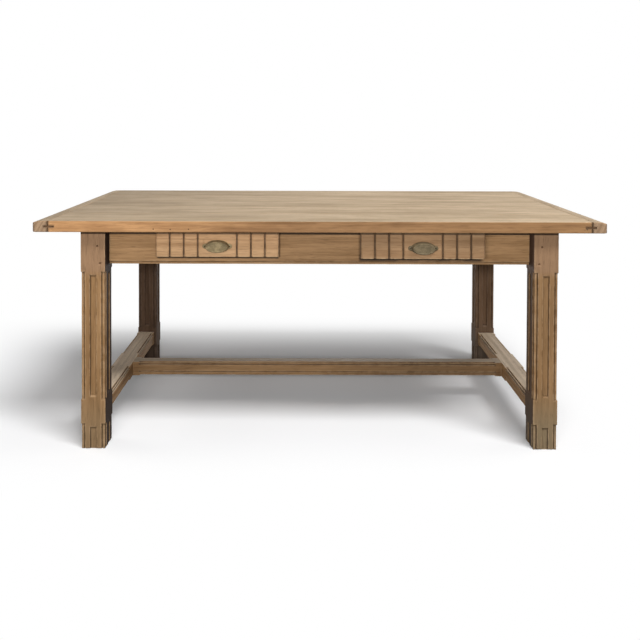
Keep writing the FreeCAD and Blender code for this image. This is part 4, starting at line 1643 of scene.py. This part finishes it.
@dataclass
class Drawer:
    """Reeded front, box and pull of one drawer."""

    side: End
    front_tone: Sequence[float]
    front: OakFinish
    brass: MetalFinish
    front_arris: float = 0.0008
    front_wear: float = 0.0014
    front_station: float = 0.012
    front_supports: Sequence[float] = (0.003, 0.009)
    reed_edge: float = 0.0004
    box_station: float = 0.04
    # How deep the painted shadow below the top reaches on the front face
    line_depth: float = 0.003

    def build(self) -> None:
        """Make the drawer's pieces."""
        body = f"{self.side}_drawer"
        # Painted shadow below the top, kept to the drawer's front face
        low, high = line_below(FRONT_PLANK, f"{body}_front")
        high.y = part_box(f"{body}_front")[0].y + self.line_depth
        Timber(
            f"{body}_front",
            Grain.ALONG_TABLE,
            self.front,
            "drawer_oak",
            body,
            arris=self.front_arris,
            wear=self.front_wear,
            tone=self.front_tone,
            lines=[(low, high)],
            station=self.front_station,
            shortest_edge=self.reed_edge,
            supports=self.front_supports,
        ).build()
        for part, grain in (
            ("left_side", Grain.ACROSS_TABLE),
            ("right_side", Grain.ACROSS_TABLE),
            ("back", Grain.ALONG_TABLE),
            ("bottom", Grain.ALONG_TABLE),
        ):
            Timber(f"{body}_{part}", grain, INNER_OAK, "inner_oak", body, station=self.box_station).build()
        CupPull(f"{body}_pull", body, self.brass).build()


class FastenerTree:
    """A Geometry Nodes tree that sets one fastener on every point of a mesh."""

    name = ""
    sizes: Sequence[str] = ()

    @classmethod
    def tree(cls) -> bpy.types.NodeTree:
        """Look up the tree, or build it at the first call.

        Returns:
            The tree.
        """
        known = bpy.data.node_groups.get(cls.name)
        if known:
            return known
        tree = bpy.data.node_groups.new(cls.name, "GeometryNodeTree")
        tree.interface.new_socket("Points", in_out="INPUT", socket_type="NodeSocketGeometry")
        for size in cls.sizes:
            tree.interface.new_socket(size, in_out="INPUT", socket_type="NodeSocketFloat")
        tree.interface.new_socket("Seed", in_out="INPUT", socket_type="NodeSocketInt")
        tree.interface.new_socket("Material", in_out="INPUT", socket_type="NodeSocketMaterial")
        tree.interface.new_socket("Mesh", in_out="OUTPUT", socket_type="NodeSocketGeometry")
        sheet = NodeSheet(tree)
        source = sheet.add("NodeGroupInput").outputs
        cls._scatter(sheet, source, cls.fastener(sheet, source))
        return tree

    @classmethod
    def fastener(cls, sheet: NodeSheet, source: Outputs) -> Socket:
        """Build one fastener with its seat at the origin and its head towards +Z.

        Args:
            sheet: Where the nodes go.
            source: The tree's inputs.

        Returns:
            The fastener's mesh.
        """
        raise NotImplementedError

    @classmethod
    def _scatter(cls, sheet: NodeSheet, source: Outputs, pattern: Socket) -> None:
        """Set a pattern on the points along their axes, each with its own turn.

        Args:
            sheet: Where the nodes go.
            source: The tree's inputs.
            pattern: The fastener's mesh.
        """
        axis = sheet.add("GeometryNodeInputNamedAttribute", {"Name": "axis"}, data_type="FLOAT_VECTOR")
        aligned = {"Vector": axis.outputs["Attribute"]}
        align = sheet.add("FunctionNodeAlignRotationToVector", aligned, axis="Z")
        spin = sheet.add("FunctionNodeRandomValue", {"Seed": source["Seed"]}, data_type="FLOAT_VECTOR")
        spin.inputs[0].default_value = (0.0, 0.0, 0.0)
        spin.inputs[1].default_value = (0.0, 0.0, math.pi)
        turn = sheet.add("FunctionNodeRotateRotation", rotation_space="LOCAL")
        sheet.feed(turn.inputs[0], align.outputs[0])
        sheet.feed(turn.inputs[1], spin.outputs[0])
        placed = {"Points": source["Points"], "Instance": pattern, "Rotation": turn.outputs[0]}
        scatter = sheet.add("GeometryNodeInstanceOnPoints", placed)
        real = sheet.add("GeometryNodeRealizeInstances", {"Geometry": scatter.outputs[0]})
        dressed = {"Geometry": real.outputs[0], "Material": source["Material"]}
        dress = sheet.add("GeometryNodeSetMaterial", dressed)
        sheet.add("NodeGroupOutput", {"Mesh": dress.outputs[0]})

    @classmethod
    def mesh(
        cls,
        name: str,
        places: Sequence[tuple[Vector, Vector]],
        material: bpy.types.Material,
        **sizes: float,
    ) -> bpy.types.Mesh:
        """Run the tree on a set of places.

        Args:
            name: Name of the mesh.
            places: Seat and head direction of each fastener.
            material: What the fasteners are dressed in.
            sizes: The tree's sizes, with underscores for the spaces in their names.

        Returns:
            A plain mesh that holds every fastener.
        """
        points = bpy.data.meshes.new(f"{name}_points")
        points.from_pydata([seat for seat, _ in places], [], [])
        layer = points.attributes.new("axis", "FLOAT_VECTOR", "POINT")
        layer.data.foreach_set("vector", [part for _, axis in places for part in axis])
        holder = mesh_object(f"{name}_holder", points)
        modifier = holder.modifiers.new(name, "NODES")
        modifier.node_group = cls.tree()
        values = {size.replace("_", " "): value for size, value in sizes.items()}
        values.update({"Seed": SEED, "Material": material})
        for item in cls.tree().interface.items_tree:
            if item.name in values:
                modifier[item.identifier] = values[item.name]
        graph = bpy.context.evaluated_depsgraph_get()
        mesh = bpy.data.meshes.new_from_object(holder.evaluated_get(graph), depsgraph=graph)
        mesh.name = name
        bpy.data.objects.remove(holder)
        bpy.data.meshes.remove(points)
        smooth_mesh(mesh)
        return mesh


class PegTree(FastenerTree):
    """Hand-cut wooden pegs or plain nails, with a chamfered head."""

    name = "chamfered_pegs"
    sizes = ("Radius", "Length", "Sides", "Chamfer")
    head_share = 0.78

    @classmethod
    def fastener(cls, sheet: NodeSheet, source: Outputs) -> Socket:
        """Build a many-sided bar and draw its head in.

        Args:
            sheet: Where the nodes go.
            source: The tree's inputs.

        Returns:
            The peg's mesh.
        """
        sizes = {"Vertices": source["Sides"], "Radius": source["Radius"], "Depth": source["Length"]}
        bar = sheet.add("GeometryNodeMeshCylinder", sizes).outputs
        half = sheet.math("MULTIPLY", source["Length"], -0.5)
        sink = sheet.join(0.0, 0.0, sheet.math("SUBTRACT", half, source["Chamfer"]))
        place = sheet.add("GeometryNodeTransform", {"Geometry": bar["Mesh"], "Translation": sink})
        head = {"Mesh": place.outputs[0], "Selection": bar["Top"], "Offset Scale": source["Chamfer"]}
        raised = sheet.add("GeometryNodeExtrudeMesh", head, mode="FACES").outputs
        top = {"Geometry": raised["Mesh"], "Selection": raised["Top"], "Scale": cls.head_share}
        return sheet.add("GeometryNodeScaleElements", top, domain="FACE").outputs[0]


class ScrewTree(FastenerTree):
    """Round-headed screws with a slot across the head."""

    name = "slotted_screws"
    sizes = ("Head Radius", "Head Height", "Slot", "Shank Radius", "Shank Length")
    head_facets = {"Segments": 24, "Rings": 12, "Radius": 1.0}
    shank_sides = 16
    slot_reach = 3.0

    @classmethod
    def fastener(cls, sheet: NodeSheet, source: Outputs) -> Socket:
        """Build a flattened dome, cut its slot and add the shank.

        Args:
            sheet: Where the nodes go.
            source: The tree's inputs.

        Returns:
            The screw's mesh.
        """
        radius, height = source["Head Radius"], source["Head Height"]
        dome = sheet.add("GeometryNodeMeshUVSphere", cls.head_facets).outputs["Mesh"]
        flat = sheet.join(radius, radius, height)
        head = sheet.add("GeometryNodeTransform", {"Geometry": dome, "Scale": flat}).outputs[0]
        bar = sheet.join(sheet.math("MULTIPLY", radius, cls.slot_reach), source["Slot"], height)
        cutter = sheet.add("GeometryNodeMeshCube", {"Size": bar}).outputs["Mesh"]
        lift = {"Geometry": cutter, "Translation": sheet.join(0.0, 0.0, height)}
        raised = sheet.add("GeometryNodeTransform", lift).outputs[0]
        slotted = sheet.add("GeometryNodeMeshBoolean", operation="DIFFERENCE")
        sheet.feed(slotted.inputs["Mesh 1"], head)
        sheet.feed(slotted.inputs["Mesh 2"], raised)
        sizes = {"Radius": source["Shank Radius"], "Depth": source["Shank Length"]}
        shank = sheet.add("GeometryNodeMeshCylinder", {"Vertices": cls.shank_sides, **sizes})
        drop = sheet.join(0.0, 0.0, sheet.math("MULTIPLY", source["Shank Length"], -0.5))
        sunk = sheet.add("GeometryNodeTransform", {"Geometry": shank.outputs["Mesh"], "Translation": drop})
        both = sheet.add("GeometryNodeJoinGeometry")
        sheet.feed(both.inputs[0], slotted.outputs["Mesh"])
        sheet.feed(both.inputs[0], sunk.outputs[0])
        return both.outputs[0]


@dataclass
class Fasteners:
    """Pegs, screws and nails, each set in one go on the places that its node gives."""

    peg_sides: int = 9
    peg_chamfer: float = 0.0005
    peg_shift: Place = (0.13, 0.17, 0.11)
    slot_width: float = 0.0011
    shank_share: float = 0.5
    button_head: float = 0.0025
    pull_head: float = 0.0018
    nail_sides: int = 12
    nail_chamfer: float = 0.0003
    edge_nails: Sequence[Range] = ((-0.549, 0.744), (-0.493, 0.743), (-0.433, 0.744), (0.88, 0.746))
    edge_nail_radius: float = 0.0021
    edge_nail_length: float = 0.02
    edge_nail_sides: int = 7

    def build(self) -> None:
        """Make every set of fasteners."""
        for joint in ("front_rail", "back_rail", "side_rail", "stretcher"):
            self._pegs(f"{joint}_pegs")
        self._screws("button_screws", "table", HeadSide.DOWN, self.button_head)
        for side in End:
            self._screws(f"{side}_pull_screws", f"{side}_drawer", HeadSide.OUTWARD, self.pull_head)
            self._nails(f"{side}_bottom_nails", f"{side}_drawer")
        self._edge_nails()

    @staticmethod
    def _places(node: str, side: HeadSide, sunk: float = 0.0) -> tuple[list[tuple[Vector, Vector]], Vector]:
        """Find the seats of the fasteners in a node.

        Args:
            node: Node that holds one solid for each fastener.
            side: Where their heads point.
            sunk: How far the seat lies below the head's end.

        Returns:
            The seats with their directions, and the size of one fastener.
        """
        places = []
        size = Vector()
        for low, high in solids(node):
            size = high - low
            long_axis = max(range(3), key=lambda i: size[i])
            sign = -1 if side is HeadSide.DOWN else math.copysign(1, low[long_axis] + high[long_axis])
            direction = Vector(sign * float(i == long_axis) for i in range(3))
            seat = (low + high) / 2
            seat[long_axis] = (high if sign > 0 else low)[long_axis]
            places.append((seat - direction * sunk, direction))
        return places, size

    def _pegs(self, node: str) -> None:
        """Set the wooden pegs of one row of joints.

        Args:
            node: Node that the pegs stand for.
        """
        places, size = self._places(node, HeadSide.OUTWARD)
        mesh = PegTree.mesh(
            f"{node}_wood",
            places,
            PEG_OAK.material(Grain.ACROSS_TABLE),
            Radius=min(size) / 2,
            Length=max(size) - self.peg_chamfer,
            Sides=self.peg_sides,
            Chamfer=self.peg_chamfer,
        )
        plain = {"tone": 0.0, "top_tone": 0.0, "arris": EdgeMap.FAR, "nook": EdgeMap.FAR}
        for name, value in plain.items():
            store(mesh, name, [value] * len(mesh.vertices))
        store_shift(mesh, Vector(self.peg_shift))
        settle(mesh, "table", [node])

    def _screws(self, node: str, body: str, side: HeadSide, head_height: float) -> None:
        """Set the slotted screws of one node.

        Args:
            node: Node that the screws stand for.
            body: Body that they move with.
            side: Where their heads point.
            head_height: Height of a head.
        """
        places, size = self._places(node, side, head_height)
        mesh = ScrewTree.mesh(
            f"{node}_slotted",
            places,
            DARK_STEEL.material(),
            Head_Radius=min(size) / 2,
            Head_Height=head_height,
            Slot=self.slot_width,
            Shank_Radius=self.shank_share * min(size) / 2,
            Shank_Length=max(size) - head_height,
        )
        settle(mesh, body, [node])

    def _nails(self, node: str, body: str) -> None:
        """Set the nails up through one drawer bottom.

        Args:
            node: Node that the nails stand for.
            body: Body that they move with.
        """
        places, size = self._places(node, HeadSide.DOWN)
        mesh = PegTree.mesh(
            f"{node}_steel",
            places,
            DARK_STEEL.material(),
            Radius=min(size) / 2,
            Length=max(size) - self.nail_chamfer,
            Sides=self.nail_sides,
            Chamfer=self.nail_chamfer,
        )
        settle(mesh, body, [node])

    def _edge_nails(self) -> None:
        """Set old nails in the front edge of the top, proud by their chamfer."""
        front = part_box(FRONT_PLANK)[0].y
        outward = Vector((0, -1, 0))
        mesh = PegTree.mesh(
            "top_edge_nails",
            [(Vector((x, front - self.nail_chamfer, z)), outward) for x, z in self.edge_nails],
            DARK_STEEL.material(),
            Radius=self.edge_nail_radius,
            Length=self.edge_nail_length,
            Sides=self.edge_nail_sides,
            Chamfer=self.nail_chamfer,
        )
        settle(mesh, "table")


@dataclass
class Softbox:
    """One large lamp of the studio."""

    name: str
    place: Place
    aim: Place
    size: tuple[float, float]
    power: float

    def build(self) -> None:
        """Hang the lamp and turn it to what it lights."""
        lamp = bpy.data.lights.new(self.name, "AREA")
        lamp.shape = "RECTANGLE"
        lamp.size, lamp.size_y = self.size
        lamp.energy = self.power
        holder = bpy.data.objects.new(self.name, lamp)
        holder.visible_camera = False
        bpy.context.scene.collection.objects.link(holder)
        holder.location = self.place
        holder.rotation_euler = (Vector(self.aim) - Vector(self.place)).to_track_quat("-Z", "Y").to_euler()


@dataclass
class Studio:
    """Pale floor, soft lamps, plain world and the camera."""

    floor_half: float = 40.0
    floor_shown: Colour = (0.9, 0.905, 0.915)
    floor_bounce: Colour = (0.16, 0.16, 0.165)
    fade_along: tuple[Range, Range] = ((-2.0, -1.1), (0.75, 1.12))
    fade_across: tuple[Range, Range] = ((-0.7, -0.3), (0.42, 1.12))
    ambient: float = 0.05
    lens: float = 38.1
    sensor: float = 36.0
    eye: Place = (-0.0448, -2.6784, 1.1207)
    tilt: float = math.radians(1.0)
    roll: float = 0.0028
    shift: tuple[float, float] = (0.0209, -0.3017)
    lamps: Sequence[Softbox] = (
        Softbox("overhead", (4.2, -4.7, 10.0), (4.2, 0.0, 0.7), (7.0, 2.2), 1125.0),
        Softbox("front", (-0.3, -3.1, 1.3), (-0.3, 0.0, 0.55), (1.8, 0.3), 66.0),
        Softbox("back", (0.3, 3.4, 0.4), (0.3, 0.0, 0.5), (1.6, 0.4), 36.0),
        Softbox("left_end", (-2.3, 0.15, 0.45), (-0.9, 0.15, 0.5), (0.9, 0.4), 9.5),
        Softbox("right_end", (2.3, 0.15, 0.45), (0.9, 0.15, 0.5), (0.9, 0.4), 7.5),
    )

    def build(self) -> None:
        """Set up all that isn't the table."""
        self._floor()
        self._world()
        for lamp in self.lamps:
            lamp.build()
        self._camera()
        bpy.context.scene.view_settings.view_transform = "Standard"

    @staticmethod
    def _seen(sheet: NodeSheet) -> Socket:
        """Pick the rays that show the background: from the camera, a gloss or glass.

        Args:
            sheet: Where the nodes go.

        Returns:
            One for those rays, zero for the others.
        """
        ray = sheet.add("ShaderNodeLightPath").outputs
        seen = sheet.math("MAXIMUM", ray["Is Camera Ray"], ray["Is Glossy Ray"])
        return sheet.math("MAXIMUM", seen, ray["Is Transmission Ray"])

    def _far(self, sheet: NodeSheet) -> Socket:
        """Tell the floor round the table from the floor under it.

        Args:
            sheet: Where the nodes go.

        Returns:
            Zero under the table, one away from it, with a soft change.
        """
        spot = sheet.split(sheet.add("ShaderNodeTexCoord").outputs["Object"])
        near = 1.0
        for axis, (start, end) in zip("XY", (self.fade_along, self.fade_across)):
            rise = sheet.remap(spot[axis], start)
            fall = sheet.remap(spot[axis], end, (1.0, 0.0))
            near = sheet.math("MULTIPLY", sheet.math("MULTIPLY", rise, fall), near)
        return sheet.math("SUBTRACT", 1.0, near)

    def _floor(self) -> None:
        """Pale floor that fades to white away from the table and can't be seen from below."""
        half = self.floor_half
        mesh = bpy.data.meshes.new("floor")
        corners = [(-half, -half, 0), (half, -half, 0), (half, half, 0), (-half, half, 0)]
        mesh.from_pydata(corners, [], [(0, 1, 2, 3)])
        material, sheet = new_surface("studio_floor")
        seen = self._seen(sheet)
        colour = sheet.mix(seen, self.floor_bounce, self.floor_shown)
        paint = sheet.add("ShaderNodeBsdfDiffuse", {"Color": colour}).outputs[0]
        white = sheet.add("ShaderNodeEmission").outputs[0]
        clear = sheet.add("ShaderNodeBsdfTransparent").outputs[0]
        below = sheet.add("ShaderNodeNewGeometry").outputs["Backfacing"]
        surface = paint
        for share, cover in ((sheet.math("MULTIPLY", self._far(sheet), seen), white), (below, clear)):
            blend = sheet.add("ShaderNodeMixShader")
            for socket, value in zip(blend.inputs, (share, surface, cover)):
                sheet.feed(socket, value)
            surface = blend.outputs[0]
        sheet.add("ShaderNodeOutputMaterial", {"Surface": surface})
        mesh.materials.append(material)
        mesh_object("floor", mesh)

    def _world(self) -> None:
        """White behind the table, with a little light from all round."""
        world = bpy.data.worlds.new("studio")
        world.use_nodes = True
        world.node_tree.nodes.clear()
        sheet = NodeSheet(world.node_tree)
        strength = sheet.remap(self._seen(sheet), (0.0, 1.0), (self.ambient, 1.0))
        sky = sheet.add("ShaderNodeBackground", {"Color": (1.0, 1.0, 1.0), "Strength": strength})
        sheet.add("ShaderNodeOutputWorld", {"Surface": sky.outputs[0]})
        bpy.context.scene.world = world

    def _camera(self) -> None:
        """Camera at the photograph's viewpoint."""
        data = bpy.data.cameras.new("camera")
        data.lens = self.lens
        data.sensor_width = self.sensor
        data.shift_x, data.shift_y = self.shift
        camera = bpy.data.objects.new("camera", data)
        bpy.context.scene.collection.objects.link(camera)
        level = Matrix.Rotation(math.pi / 2 - self.tilt, 4, "X")
        camera.matrix_world = Matrix.Translation(self.eye) @ level @ Matrix.Rotation(self.roll, 4, "Z")
        bpy.context.scene.camera = camera


def main() -> None:
    """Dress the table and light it."""
    logging.basicConfig(level=logging.INFO, format="%(name)s: %(message)s")
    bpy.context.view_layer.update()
    TableTop().build()
    Underframe().build()
    DrawerRunners().build()
    Drawer(End.LEFT, (0.18,), DRAWER_OAK, PULL_BRASS).build()
    Drawer(End.RIGHT, (-0.3, -0.3, -0.14, -0.3, -0.3), SOFT_DRAWER_OAK, DULL_BRASS).build()
    Fasteners().build()
    Studio().build()


if __name__ == "__main__":
    main()
